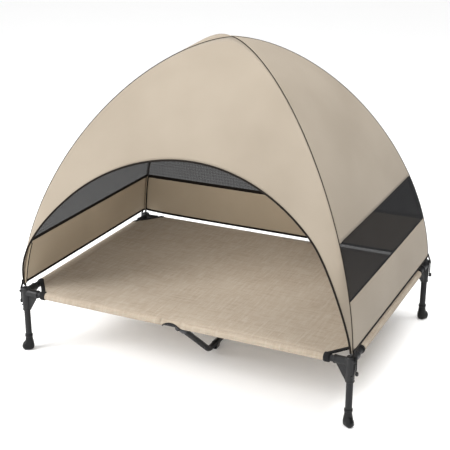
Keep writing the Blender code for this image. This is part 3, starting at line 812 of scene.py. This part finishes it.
def seam_path(sx, sy):
    """Points on the ridge above a pole, from the hem to the crown."""
    side = "right" if sx > 0 else "left"
    count = 90
    return [canopy_point(side, float(sy), HEM_TURN + (pi / 2 - HEM_TURN) * k / count, SEAM_PIPING_OFF)
            for k in range(count + 1)]


DOOR_PIPING_R = 0.0033
WINDOW_TAPE = (0.0145, 0.0014)  # width and thickness
HEM_TAPE = (0.0096, 0.0026)
HEM_TAPE_RISE = 0.0042  # from the hem to the middle of its tape
UPPER_PIPING_R = 0.0014
SEAM_PIPING_R = 0.0013
SEAM_PIPING_OFF = 0.0010  # from the cloth's middle out to the piping's
CLOTH_STITCH_R = 0.0004
STITCHING_RISE = {"roof": 0.009, "hem": 0.013, "window": -0.0115}  # from the edge that each row follows
RUFFLE = {"front": 0.0016, "cloth": 0.0014, "net": 0.0008}
CROWN_TURN = pi / 2 * 0.9996  # just short of the crown, where a gore would shrink to a point


def edge_tape(name, side, turn, size, off):
    """Black tape sewn along a gore at one height, a little off the cloth's middle."""
    away = outward(side, turn)
    path = [canopy_point(side, share / 30, turn, off) for share in range(-30, 31)]
    return piece(name, tape_along(path, *size, lambda point: away), "piping", "canopy")


def sewn_row(name, side, edge_turn, rise):
    """Row of stitches along a gore, at a rise above one of its edges."""
    turn = turn_at(arch(edge_turn)[1] + rise)
    away = outward(side, turn)
    path = [canopy_point(side, share / 20, turn) for share in range(-20, 21)]
    sewn = stitches(path, lambda point: away, radius=CLOTH_STITCH_R)
    return piece(f"{name}_{side}", sewn, "beige_thread", "canopy")


def cloth_solid(rows, coordinates, ruffle):
    return with_lit_inside(thickened(grid_mesh(ruffled(rows, ruffle), coordinates), CLOTH_THICKNESS))


def build_front():
    def off_front(point):
        return outward("front", turn_at(point.z))

    rows, coordinates = front_sheet()
    front = piece("canopy_front_cloth", cloth_solid(rows, coordinates, RUFFLE["front"]), "cloth", "canopy",
                  ["canopy_front_panel"])
    edge = [point + off_front(point) * 0.0002 for point in rows[0]]
    sewn = stitches(rows[2], off_front, radius=CLOTH_STITCH_R)
    trim = [piece("door_piping", tube_along(edge, DOOR_PIPING_R, 12), "piping", "canopy"),
            piece("door_stitching", sewn, "beige_thread", "canopy")]
    declare_cloth(rows, coordinates)


def build_roof(side):
    rows, coordinates = gore_sheet(side, WINDOW_HIGH_TURN, CROWN_TURN)
    solid = cloth_solid(rows, coordinates, RUFFLE["cloth"])
    roof = piece(f"canopy_roof_{side}_cloth", solid, "cloth", "canopy", [f"canopy_roof_{side}"])
    trim = [sewn_row("roof_stitching", side, WINDOW_HIGH_TURN, STITCHING_RISE["roof"])]
    declare_cloth(rows, coordinates)


def build_window(side):
    rows, coordinates = gore_sheet(side, WINDOW_LOW_TURN, WINDOW_HIGH_TURN)
    net = piece(f"window_net_{side}", grid_mesh(ruffled(rows, RUFFLE["net"]), coordinates), "net", "canopy",
                [f"mesh_window_{side}"])
    upper = tube_along(resampled(rows[-1], 0.03) + [rows[-1][-1]], UPPER_PIPING_R, 10)
    trim = [edge_tape(f"window_tape_lower_{side}", side, WINDOW_LOW_TURN, WINDOW_TAPE, -0.0012),
            piece(f"window_piping_upper_{side}", upper, "piping", "canopy")]
    declare_cloth(rows, coordinates)


def build_band(side):
    rows, coordinates = gore_sheet(side, HEM_TURN, WINDOW_LOW_TURN)
    solid = cloth_solid(rows, coordinates, RUFFLE["cloth"])
    band = piece(f"canopy_band_{side}_cloth", solid, "cloth", "canopy", [f"canopy_band_{side}"])
    trim = [edge_tape(f"hem_tape_{side}", side, turn_at(HEM_Z + HEM_TAPE_RISE), HEM_TAPE, 0.0002),
            sewn_row("band_stitching_hem", side, HEM_TURN, STITCHING_RISE["hem"]),
            sewn_row("band_stitching_window", side, WINDOW_LOW_TURN, STITCHING_RISE["window"])]
    declare_cloth(rows, coordinates)


def build_canopy_cloth():
    build_front()
    for side in ("left", "right", "rear"):
        build_roof(side)
        build_window(side)
        build_band(side)
    for corner, (sx, sy) in CORNERS.items():
        seam = tube_along(seam_path(sx, sy), SEAM_PIPING_R, 8)
        piece(f"seam_piping_{corner}", seam, "piping", "canopy")


# ---------------------------------------------------------------- poles and their sleeves

FERRULE_OUTLINE = [(0.0041, -0.026), (0.0045, -0.025), (0.0045, -0.021), (0.0042, -0.0205), (0.0042, 0.0205),
                   (0.0045, 0.021), (0.0045, 0.025), (0.0041, 0.026), (0.0037, 0.026), (0.0037, -0.026)]
SLEEVE_OUTER_R = 0.0044


def pole_point(direction, drop, angle):
    """Point on a bowed pole, from one foot (0) over the crown to the other (pi). drop lowers its crown."""
    across = abs(cos(angle)) ** (2 / POLE_POWER) * (-1 if angle < pi / 2 else 1)
    up = max(sin(angle), 0.0) ** (2 / POLE_POWER)
    return direction * (LEG_DIAGONAL * across) + Vector((0, 0, POLE_BASE_Z + (POLE_RISE - drop) * up))


def build_rods(name, direction, drop):
    """One bowed pole in two halves, with the ferrule that joins them."""
    joint = middle(f"pole_ferrule_{name}")
    rod_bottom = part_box("pole_rising_right")[0][2]
    arc = [pole_point(direction, drop, pi * k / SLEEVE_STEPS) for k in range(SLEEVE_STEPS + 1)]
    ends = [direction * (LEG_DIAGONAL * sign) + Vector((0, 0, rod_bottom)) for sign in (-1, 1)]
    path = [ends[0]] + arc + [ends[1]]
    nearest = min(range(len(path)), key=lambda k: (path[k] - joint).length)
    for half, run in (("left", path[:nearest + 1]), ("right", path[nearest:])):
        piece(f"pole_rod_{name}_{half}", tube_along(run, POLE_R, 16, round_ends=False), "rod", "canopy",
              [f"pole_{name}_{half}"])
    along = (path[nearest + 1] - path[nearest - 1]).normalized()
    ferrule = turned(FERRULE_OUTLINE, 24, path[nearest], along, ring=True)
    piece(f"ferrule_{name}", ferrule, "zinc", "canopy", [f"pole_ferrule_{name}"], 40)


def build_sleeves(direction, drop, sign, corner):
    """The cloth tunnels on one side of a pole, below and above the windows."""
    angles = [pi / 2 * k / SLEEVE_STEPS for k in range(SLEEVE_STEPS + 1)]
    run = [pole_point(direction, drop, angle if sign < 0 else pi - angle) for angle in angles]

    def ripple(share):
        return SLEEVE_OUTER_R + 0.0003 * noise.noise(Vector((share * 90, sign * 3.1, drop * 900)))

    def tunnel(low, high):
        return [point for point in run if low < point.z < high]

    low_run, high_run = tunnel(SLEEVE_HEM_Z, WINDOW_LOW_Z), tunnel(WINDOW_HIGH_Z, SLEEVE_TOP_Z)
    inner_side = [point - direction * (sign * SLEEVE_PIPING_IN) for point in low_run]
    # the low sleeves, seen from inside, take the paler inside tone: painted light
    piece(f"pole_sleeve_low_{corner}", tube_along(low_run, ripple, 14, 0.9), "lit_inside", "canopy")
    piece(f"sleeve_piping_{corner}", tube_along(inner_side, SLEEVE_PIPING_R, 8), "piping", "canopy")
    piece(f"pole_sleeve_high_{corner}", tube_along(high_run, ripple, 14, 0.9), "cloth", "canopy")


def build_tips():
    low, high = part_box("pole_tip_front_right")[0][2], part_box("pole_tip_front_right")[1][2]
    profile = [(0.0030, low), (0.0041, low + 0.0005), (0.0045, low + 0.0016), (0.0045, high - 0.004),
               (0.0047, high - 0.0036), (0.0047, high - 0.0006), (0.0044, high), (0.0037, high)]
    tip = turned(profile, 24)
    for corner in CORNERS:
        piece(f"tip_{corner}", at_corner(tip, corner), "nylon", "canopy", [f"pole_tip_{corner}"], 50)


def build_poles():
    poles = (("rising", 1, 0.0, ("front_left", "rear_right")),
             ("falling", -1, POLE_CROSSING, ("rear_left", "front_right")))
    for name, slant, drop, corners in poles:
        direction = Vector((LEG_X, slant * LEG_Y, 0)).normalized()
        build_rods(name, direction, drop)
        for sign, corner in zip((-1, 1), corners):
            build_sleeves(direction, drop, sign, corner)
    build_tips()


# ---------------------------------------------------------------- sling

SLING_THICKNESS = 0.0012
SLEEVE_R = DECK_TOP - RAIL_Z - SLING_THICKNESS / 2  # middle of the cloth round a rail
SLING_CUT_X = 0.070
SLING_CUT_Y = 0.090
BINDING_WIDTH = 0.014
BINDING_THICKNESS = 0.0046
END_BINDINGS = {"long": (0.016, 0.0026), "short": (0.010, 0.0013)}  # length, and rise off the sleeve
SEAM_INBOARD = 0.030  # where a sleeve is sewn to the deck's underside
ROW_SPACING = 0.005  # between the two rows of a sleeve's seam
WELD = 0.0002  # distance within which the points of the deck and the sleeves become one
DECK_SAG = 0.004
DECK_STEP = 0.02  # spacing of the deck's rows and columns
NOTCH_X = (-0.052, 0.020)  # longer on the side that the middle leg folds to
NOTCH_TURN = radians(112)  # how far up the sleeve's outer side the notch reaches, from its lowest line
NOTCH_BINDING_R = 0.0022


def deck_point(x, y):
    """Point of the taut deck: tangent to the rails' sleeves, and a little lower in the middle."""
    fade = (1 - (x / LEG_X) ** 2) * (1 - (y / LEG_Y) ** 2)
    ripple = 0.0006 * noise.noise(Vector((x * 6, y * 6, 0.3))) * min(fade * 4, 1)
    return Vector((x, y, RAIL_Z + SLEEVE_R - DECK_SAG * max(fade, 0.0) ** 0.8 + ripple))


def spaced(half, step, marks):
    """Even places from -half to half that include the marks on both sides."""
    stops = sorted({-half, half, *marks, *(-m for m in marks)})
    places = []
    for low, high in zip(stops, stops[1:]):
        count = max(1, round((high - low) / step))
        places += [low + (high - low) * k / count for k in range(count)]
    return places + [half]


def deck_mesh():
    """The flat cloth between the rails, with its corners cut off."""
    xs = spaced(LEG_X, DECK_STEP, (LEG_X - SLING_CUT_X, *NOTCH_X, 0.0))
    ys = spaced(LEG_Y, DECK_STEP, (LEG_Y - SLING_CUT_Y,))
    shape = bmesh.new()
    layer = shape.loops.layers.uv.new("metres")
    corners = {}
    for i, x in enumerate(xs):
        for j, y in enumerate(ys):
            corners[i, j] = shape.verts.new(deck_point(x, y))
    for i in range(len(xs) - 1):
        for j in range(len(ys) - 1):
            shape.faces.new((corners[i, j], corners[i + 1, j], corners[i + 1, j + 1], corners[i, j + 1]))
    for sx, sy in CORNERS.values():
        normal = Vector((sx / SLING_CUT_X, sy / SLING_CUT_Y, 0)).normalized()
        point = Vector((sx * (LEG_X - SLING_CUT_X), sy * LEG_Y, 0))
        everything = shape.verts[:] + shape.edges[:] + shape.faces[:]
        bmesh.ops.bisect_plane(shape, geom=everything, plane_co=point, plane_no=normal, clear_outer=True)
    for face in shape.faces:
        for loop in face.loops:
            loop[layer].uv = (loop.vert.co.x, loop.vert.co.y)
    return mesh_of(shape)


def build_sling():
    meshes = [deck_mesh()]
    for sign in (-1, 1):
        meshes += sleeve_meshes("x", sign)
        meshes += sleeve_meshes("y", sign)
    sheet = joined(meshes, weld=WELD)
    made = piece("sling_cloth", thickened(sheet, SLING_THICKNESS), "sling", "frame", ["bed_sling"])
    extras = sling_trim()


def round_rail(angle):
    """(outward, up) on the sleeve round a rail: 90 degrees is its top and 180 its outer side."""
    return (-SLEEVE_R * cos(angle), SLEEVE_R * sin(angle))


def sleeve_profile():
    """(outward, up) pairs from the top of the rail, round its outer side and back to the deck's underside."""
    profile = [round_rail(pi / 2 + radians(235) * k / 18) for k in range(19)]
    end = profile[-1]
    for share in (0.35, 0.7, 1.0):
        inboard = end[0] + (-SEAM_INBOARD - end[0]) * share
        height = end[1] + (SLEEVE_R - 0.0022 - end[1]) * share ** 0.6
        profile.append((inboard, height))
    return profile


def sleeve_meshes(axis, sign):
    """The tunnel of cloth round one rail, as sheets on either side of its notch."""
    long_half = (LEG_X - SLING_CUT_X) if axis == "x" else (LEG_Y - SLING_CUT_Y)
    rail = LEG_Y if axis == "x" else LEG_X
    profile, made = sleeve_profile(), []
    spans = [(-long_half, long_half)]
    if axis == "x":
        spans = [(-long_half, NOTCH_X[0]), (NOTCH_X[1], long_half)]
        made.append(notch_mesh(sign))
    lengths = [0.0]
    for (out, up), (next_out, next_up) in zip(profile, profile[1:]):
        lengths.append(lengths[-1] + hypot(next_out - out, next_up - up))
    for low, high in spans:
        count = max(2, round((high - low) / DECK_STEP))

        def cell(k, c):
            out, up = profile[k]
            along = low + (high - low) * c / count
            pucker = 0.0003 * noise.noise(Vector((along * 60, out * 90, up * 90))) * (1 if k > 2 else 0)
            across, z = sign * (rail + out + pucker), RAIL_Z + up + pucker
            if axis == "x":
                return Vector((along, across, z)), (along, rail + lengths[k])
            return Vector((across, along, z)), (rail + lengths[k], along)

        made.append(grid_mesh(*grid_of(len(profile) - 1, count, cell)))
    return made


def notch_limit(along):
    """Angle round the rail where the sleeve ends above the notch: an arch over the notch's length."""
    place = (2 * along - NOTCH_X[0] - NOTCH_X[1]) / (NOTCH_X[1] - NOTCH_X[0])
    return 1.5 * pi - NOTCH_TURN * sqrt(max(1 - place * place, 0.0))


def notch_mesh(sign):
    """Cloth over one long rail between its top and the notch's arch."""
    levels, count = 12, 36

    def cell(level, c):
        along = NOTCH_X[0] + (NOTCH_X[1] - NOTCH_X[0]) * c / count
        angle = pi / 2 + (notch_limit(along) - pi / 2) * level / levels
        out, up = round_rail(angle)
        return Vector((along, sign * (LEG_Y + out), RAIL_Z + up)), (along, LEG_Y + SLEEVE_R * (angle - pi / 2))

    return grid_mesh(*grid_of(levels, count, cell))


def notch_binding(row, sign):
    path = []
    for k in range(49):
        along = NOTCH_X[0] + (NOTCH_X[1] - NOTCH_X[0]) * (0.5 - 0.5 * cos(pi * k / 48))
        out, up = round_rail(notch_limit(along))
        path.append(Vector((along, sign * (LEG_Y + out * 1.04), RAIL_Z + up * 1.04)))
    return piece(f"notch_binding_{row}", tube_along(path, NOTCH_BINDING_R, 10), "webbing", "frame")


def sleeve_seam(label, axis, sign, count):
    """Twin rows of stitches on the deck, where the sleeve of one rail is sewn on."""
    if axis == "x":
        half, inward = LEG_X - SLING_CUT_X * 0.7, Vector((0, -sign, 0))
        places = [(-half + 2 * half * k / count, sign * (LEG_Y - SEAM_INBOARD)) for k in range(count + 1)]
    else:
        half, inward = LEG_Y - SLING_CUT_Y * 0.7, Vector((-sign, 0, 0))
        places = [(sign * (LEG_X - SEAM_INBOARD), -half + 2 * half * k / count) for k in range(count + 1)]
    path = [deck_point(x, y) + Vector((0, 0, SLING_THICKNESS / 2)) for x, y in places]
    rows = [stitches([p + inward * shift for p in path], lambda p: Vector((0, 0, 1)), 0.0048, 0.0034)
            for shift in (0, ROW_SPACING)]
    return piece(f"sling_stitching_{label}", joined(rows), "beige_thread", "frame")


def sling_trim():
    """Black binding on the cut corners and sleeve ends, and the seams of the sleeves."""
    made = []
    ring_r = SLEEVE_R + SLING_THICKNESS / 2
    middle_z = DECK_TOP - SLING_THICKNESS / 2
    for corner, (sx, sy) in CORNERS.items():
        start = Vector((sx * (LEG_X - SLING_CUT_X), sy * LEG_Y, middle_z))
        end = Vector((sx * LEG_X, sy * (LEG_Y - SLING_CUT_Y), middle_z))
        outward_from_cut = Vector((sx / SLING_CUT_X, sy / SLING_CUT_Y, 0)).normalized()
        cut = [start.lerp(end, k / 20) - outward_from_cut * (BINDING_WIDTH * 0.30) for k in range(21)]
        binding = tape_along(cut, BINDING_WIDTH, BINDING_THICKNESS, lambda p: Vector((0, 0, 1)))
        made.append(piece(f"sling_corner_binding_{corner}", binding, "webbing", "frame"))
        for label, centre, along in (("long", start, Vector((sx, 0, 0))), ("short", end, Vector((0, sy, 0)))):
            hub = Vector((centre.x, centre.y, RAIL_Z))
            length, rise = END_BINDINGS[label]
            full = ring_r + rise
            band = [(ring_r + 0.0002, -length), (full - 0.0008, 0.0010 - length), (full, 0.0040 - length),
                    (full, 0.0010), (full - 0.0010, 0.0034), (ring_r + 0.0002, 0.0044),
                    (ring_r - 0.0009, 0.0040), (ring_r - 0.0013, 0.0020), (ring_r - 0.0013, 0.0004 - length)]
            made.append(piece(f"sling_end_binding_{label}_{corner}", turned(band, 28, hub, along, ring=True),
                              "webbing", "frame"))
    for label, sign in (("front", -1), ("rear", 1)):
        made.append(notch_binding(label, sign))
        made.append(sleeve_seam(label, "x", sign, 60))
    for label, sign in (("left", -1), ("right", 1)):
        made.append(sleeve_seam(label, "y", sign, 50))
    return made


# ---------------------------------------------------------------- hard parts

def remeshed(node, voxel, passes):
    """A CAD node's shape with the soft fillets of a moulding."""
    result = modified(NODES[node].data.copy(), ("REMESH", {"mode": "VOXEL", "voxel_size": voxel}),
                      ("SMOOTH", {"iterations": passes, "factor": 0.5}))
    result.shade_smooth()
    return result


TOE_REACH = 0.0115
TOE_R = 0.0148
TOE_WIDEST_Z = 0.0120
TOE_TOP_Z = 0.0370


def boot_level(z, bulb_r, sides):
    """Outline of a boot at a height: round its leg, with a round toe outward along the diagonal."""
    lift = max(z - TOE_WIDEST_Z, 0.0) / (TOE_TOP_Z - TOE_WIDEST_Z)
    dip = max(TOE_WIDEST_Z - z, 0.0) / TOE_WIDEST_Z
    fade = sqrt(1.0 - min(lift, 1.0) ** 2)
    reach = TOE_REACH * fade
    small = TOE_R * fade * (1 - 0.42 * dip * dip)
    ring = []
    for k in range(sides):
        turn = 2 * pi * (k + 0.5) / sides
        on_toe = reach * cos(turn) + small > bulb_r
        radius, centre = (small, reach) if on_toe else (bulb_r, 0.0)
        along, across = centre + radius * cos(turn), radius * sin(turn)
        ring.append(Vector(((along - across) / sqrt(2), (along + across) / sqrt(2), z)))
    return ring


def build_boots():
    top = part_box("foot_boot_front_right")[1][2]
    sides = 64
    # (height, radius) from the sole up to the collar at the top
    outline = [(0.0, 0.0098), (0.0006, 0.0110), (0.0016, 0.0124), (0.0030, 0.0138), (0.0048, 0.0150),
               (0.0070, 0.0159), (0.0100, 0.0165), (0.0140, 0.0168), (0.0180, 0.0167), (0.0220, 0.0163),
               (0.0260, 0.0157), (0.0300, 0.0150), (0.0340, 0.0143), (0.0380, 0.0136), (0.0420, 0.0131),
               (0.0460, 0.0128), (0.0490, 0.0126), (0.0500, 0.0126), (0.0504, 0.0135), (0.0514, 0.0139),
               (top - 0.0014, 0.0139), (top - 0.0004, 0.0136), (top, 0.0130)]
    inside = [(top, 0.0113), (0.0400, 0.0113)]
    rings = [boot_level(z, r, sides) for z, r in outline]
    turns = [2 * pi * (k + 0.5) / sides + pi / 4 for k in range(sides)]
    rings += [[Vector((r * cos(turn), r * sin(turn), z)) for turn in turns] for z, r in inside]
    points = [p for ring in rings for p in ring]
    faces = end_faces(len(points), sides) + ring_faces(len(rings), sides)
    boot = mesh_from(points, faces, [(p.x + p.y, p.z) for p in points])
    for corner in CORNERS:
        piece(f"boot_{corner}", at_corner(boot, corner, mirror_x=True, mirror_y=True), "rubber", "frame",
              [f"foot_boot_{corner}"], 45)


def steel_tube(low, high, start=(0, 0, 0), along=(0, 0, 1)):
    """Open-ended tube between two distances along its axis."""
    inside = TUBE_R - TUBE_WALL
    return turned([(TUBE_R, low), (TUBE_R, high), (inside, high), (inside, low)], 40, start, along, ring=True)


def build_frame():
    leg = steel_tube(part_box("leg_tube_front_right")[0][2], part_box("leg_tube_front_right")[1][2])
    for corner in CORNERS:
        piece(f"leg_{corner}", at_corner(leg, corner), "steel", "frame", [f"leg_tube_{corner}"], 40)
        moulding = remeshed(f"corner_connector_{corner}", 0.0011, 3)
        piece(f"corner_moulding_{corner}", moulding, "nylon", "frame", [f"corner_connector_{corner}"])
    for node in RAILS:
        a, b = (Vector(corner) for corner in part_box(node))
        along = Vector((0, 1, 0)) if node in ("left_rail", "right_rail") else Vector((1, 0, 0))
        half = abs((b - a).dot(along)) / 2
        piece(f"{node}_tube", steel_tube(-half, half, (a + b) / 2, along), "steel", "frame", [node], 40)
    for corner in CORNERS:
        repaint(f"snap_button_{corner}", "black_plate", 50)
    for row in ("front", "rear"):
        piece(f"coupler_{row}", remeshed(f"rail_coupler_{row}", 0.0007, 2), "nylon", "frame",
              [f"rail_coupler_{row}"])
        repaint(f"pivot_pin_{row}", "black_plate", 50)


def repaint(node, finish, soft_edge):
    """Keeps a CAD node as it is, with a finer edge and the given material."""
    made = NODES[node]
    made.data.materials.clear()
    made.data.materials.append(MATERIALS[finish])
    made.data.shade_smooth()
    made.data.set_sharp_from_angle(angle=radians(soft_edge))
    step = made.modifiers.new("edges", "BEVEL")
    step.width = 0.0003
    step.segments = 2
    step.limit_method = "ANGLE"


PIVOT_Z = 0.205
EYE_MIDDLE_Y = -0.4082
BEND_Y = -0.192
BAR_Z = 0.022
BEND_RADIUS = 0.040
STRUT_R = 0.0100


def middle_leg_path():
    pivot = Vector((0, EYE_MIDDLE_Y, PIVOT_Z))
    along = Vector((0, BEND_Y - EYE_MIDDLE_Y, BAR_Z - PIVOT_Z)).normalized()
    bend = Vector((0, BEND_Y, BAR_Z))
    turn = atan2(-along.z, along.y)
    tangent = BEND_RADIUS * sin(turn / 2) / cos(turn / 2)
    centre = bend + Vector((0, tangent, BEND_RADIUS))
    half = [pivot + along * (0.0165 + 0.02 * k) for k in range(12)]
    half = [p for p in half if p.z > centre.z - BEND_RADIUS * cos(turn) + 0.003]
    for k in range(15):
        angle = turn * (1 - k / 14)
        half.append(centre - Vector((0, BEND_RADIUS * sin(angle), BEND_RADIUS * cos(angle))))
    return half + [Vector((0, -p.y, p.z)) for p in reversed(half)]


def build_middle_leg():
    path = middle_leg_path()
    piece("middle_leg_strut", tube_along(path, STRUT_R, 28, round_ends=False), "steel", "middle_leg",
          ["middle_leg_tube"], 40)
    for row in ("front", "rear"):
        piece(f"knuckle_{row}", remeshed(f"middle_leg_knuckle_{row}", 0.0006, 2), "grey", "middle_leg",
              [f"middle_leg_knuckle_{row}"])
        piece(f"pad_{row}", remeshed(f"middle_leg_pad_{row}", 0.0008, 2), "rubber", "middle_leg",
              [f"middle_leg_pad_{row}"])


STRAP_HALF = 0.006
STRAP_THICKNESS = 0.0014


def strap_sheet():
    """Rows of points and UVs of a strap, bent over its connector's shoulder."""
    low, high = (Vector(c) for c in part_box("corner_strap_front_right"))
    inner, outer = low.x - LEG_X + 0.0008, high.x - LEG_X - 0.0008
    corners = ((inner, high.z), (inner, high.z - 0.010), (outer, high.z - 0.030), (outer, low.z))
    guide = [Vector((x, 0, z)) for x, z in corners]
    path = []
    for a, b in zip(guide, guide[1:]):
        count = max(2, round(abs(b.z - a.z) / 0.002))
        path += [a.lerp(b, k / count) for k in range(count)]
    path.append(guide[-1])
    for _ in range(4):
        path = [path[0]] + [(a + b * 2 + c) / 4 for a, b, c in zip(path, path[1:], path[2:])] + [path[-1]]
    across = [STRAP_HALF * (k / 4 - 1) for k in range(9)]
    rows = [[point + Vector((0, y, 0)) for y in across] for point in path]
    return rows, [[(y, run) for y in across] for run in lengths_along(path)]


def toggle_mesh():
    low, high = (Vector(c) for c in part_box("corner_toggle_front_right"))
    at = (low + high) / 2 - Vector((LEG_X, -LEG_Y, 0))
    half = (high.z - low.z) / 2
    upper = [(0.0048, 0.0), (0.0050, 0.0012), (0.0054, half - 0.0045), (0.0048, half - 0.0022),
             (0.0036, half - 0.0006), (0.0022, half)]
    lower = [(radius, -height) for radius, height in upper[:0:-1]]
    return turned(lower + upper, 28, (at.x, 0, at.z))


def build_straps():
    rows, coordinates = strap_sheet()
    strap, toggle = thickened(grid_mesh(rows, coordinates), STRAP_THICKNESS), toggle_mesh()
    for corner, (sx, _) in CORNERS.items():
        hinge = f"strap_{corner}"
        made = piece(f"strap_{corner}", at_corner(strap, corner, mirror_x=True), "webbing", hinge,
                     [f"corner_strap_{corner}"])
        knob = piece(f"toggle_{corner}", at_corner(toggle, corner, mirror_x=True), "nylon", hinge,
                     [f"corner_toggle_{corner}"], 50)


# ---------------------------------------------------------------- studio

SKY_HIGH = 1.43  # strength of the studio's surroundings where they are brightest
SKY_HORIZON = 1.00  # what is added in a low band all round, so that the floor has no dark edge
HORIZON_FADE = (0.15, 0.24)  # sines of the elevations between which the band fades out
SKY_BRIGHTEST = Vector((-0.34, -0.22, 0.90)).normalized()
LAMP_AIM = Vector((0, 0, 0.45))
# name, place, aim, width in metres and power in watts
LAMPS = (("key", (-2.8, -2.8, 2.6), LAMP_AIM, 1.8, 172.0),
         ("front", (0.7, -4.1, 1.7), LAMP_AIM, 2.0, 24.0),
         ("high_right", (1.2, 0.2, 3.3), LAMP_AIM, 1.8, 84.0),
         ("through_cloth", (0.08, 0.0, 0.93), Vector((0.08, 0.001, 0.0)), 0.28, 3.1))
WHITE = (1.0, 1.0, 1.0)
FLOOR_HALF = 30.0
FLOOR_GAP = 0.0005  # from the boots' soles down to the floor
FLOOR_GLOW = 0.08  # its own light, which keeps the far floor as pale as the sky
CAMERA_PLACE = (1.4627, -3.1318, 1.7212)
CAMERA_TURN = Euler((radians(69.4646), radians(-0.196), radians(25.665)), "YXZ")
CAMERA_LENS = 82.92  # mm, on a sensor 36 mm wide


def build_floor():
    nodes = Nodes("studio_floor")
    body = nodes.body()
    tone = nodes.mix(nodes.noise(body, 2, 2), (0.92, 0.92, 0.92), (0.94, 0.94, 0.94))
    nodes.finish(tone, 0.9, Specular_IOR_Level=0.1, Emission_Color=WHITE, Emission_Strength=FLOOR_GLOW)
    corners = [(sx * FLOOR_HALF, sy * FLOOR_HALF, 0) for sx, sy in ((-1, -1), (1, -1), (1, 1), (-1, 1))]
    mesh = bpy.data.meshes.new("floor")
    mesh.from_pydata(corners, [], [(0, 1, 2, 3)])
    mesh.materials.append(nodes.owner)
    floor = bpy.data.objects.new("studio_floor", mesh)
    floor.location.z = -FLOOR_GAP
    bpy.context.scene.collection.objects.link(floor)


def build_sky():
    """Pale surroundings, bright overhead and in a low band all round."""
    world = bpy.data.worlds.new("studio")
    bpy.context.scene.world = world
    nodes = Nodes(world, "Background")
    where = nodes.add("ShaderNodeTexCoord").outputs["Generated"]
    towards = nodes.add("ShaderNodeVectorMath", {"operation": "DOT_PRODUCT"})
    nodes.give(towards.inputs[0], where)
    nodes.give(towards.inputs[1], SKY_BRIGHTEST)
    rise = nodes.add("ShaderNodeMapRange", Value=towards.outputs["Value"], To_Max=SKY_HIGH)
    split = nodes.add("ShaderNodeSeparateXYZ")
    nodes.give(split.inputs[0], where)
    band = nodes.add("ShaderNodeMapRange", {"interpolation_type": "SMOOTHSTEP"}, Value=split.outputs["Z"],
                     From_Min=HORIZON_FADE[0], From_Max=HORIZON_FADE[1], To_Min=SKY_HORIZON, To_Max=0.0)
    strength = nodes.math("ADD", rise.outputs["Result"], band.outputs["Result"])
    nodes.give(nodes.shader.inputs["Strength"], strength)
    nodes.give(nodes.shader.inputs["Color"], WHITE)


def build_lamps():
    for name, place, aim, width, power in LAMPS:
        data = bpy.data.lights.new(name, "AREA")
        data.size = width
        data.energy = power
        lamp = bpy.data.objects.new(name, data)
        lamp.location = place
        lamp.rotation_euler = (aim - Vector(place)).to_track_quat("-Z", "Y").to_euler()
        lamp.visible_camera = False
        bpy.context.scene.collection.objects.link(lamp)


def build_camera():
    data = bpy.data.cameras.new("camera")
    data.lens = CAMERA_LENS
    data.sensor_width = 36.0
    camera = bpy.data.objects.new("camera", data)
    camera.location = CAMERA_PLACE
    camera.rotation_mode = "YXZ"
    camera.rotation_euler = CAMERA_TURN
    bpy.context.scene.collection.objects.link(camera)
    bpy.context.scene.camera = camera
    settings = bpy.context.scene.view_settings
    settings.view_transform = "Standard"
    settings.look = "None"


def build_studio():
    build_floor()
    build_sky()
    build_lamps()
    build_camera()


build_studio()
build_canopy_cloth()
build_poles()
build_sling()
build_frame()
build_boots()
build_middle_leg()
build_straps()
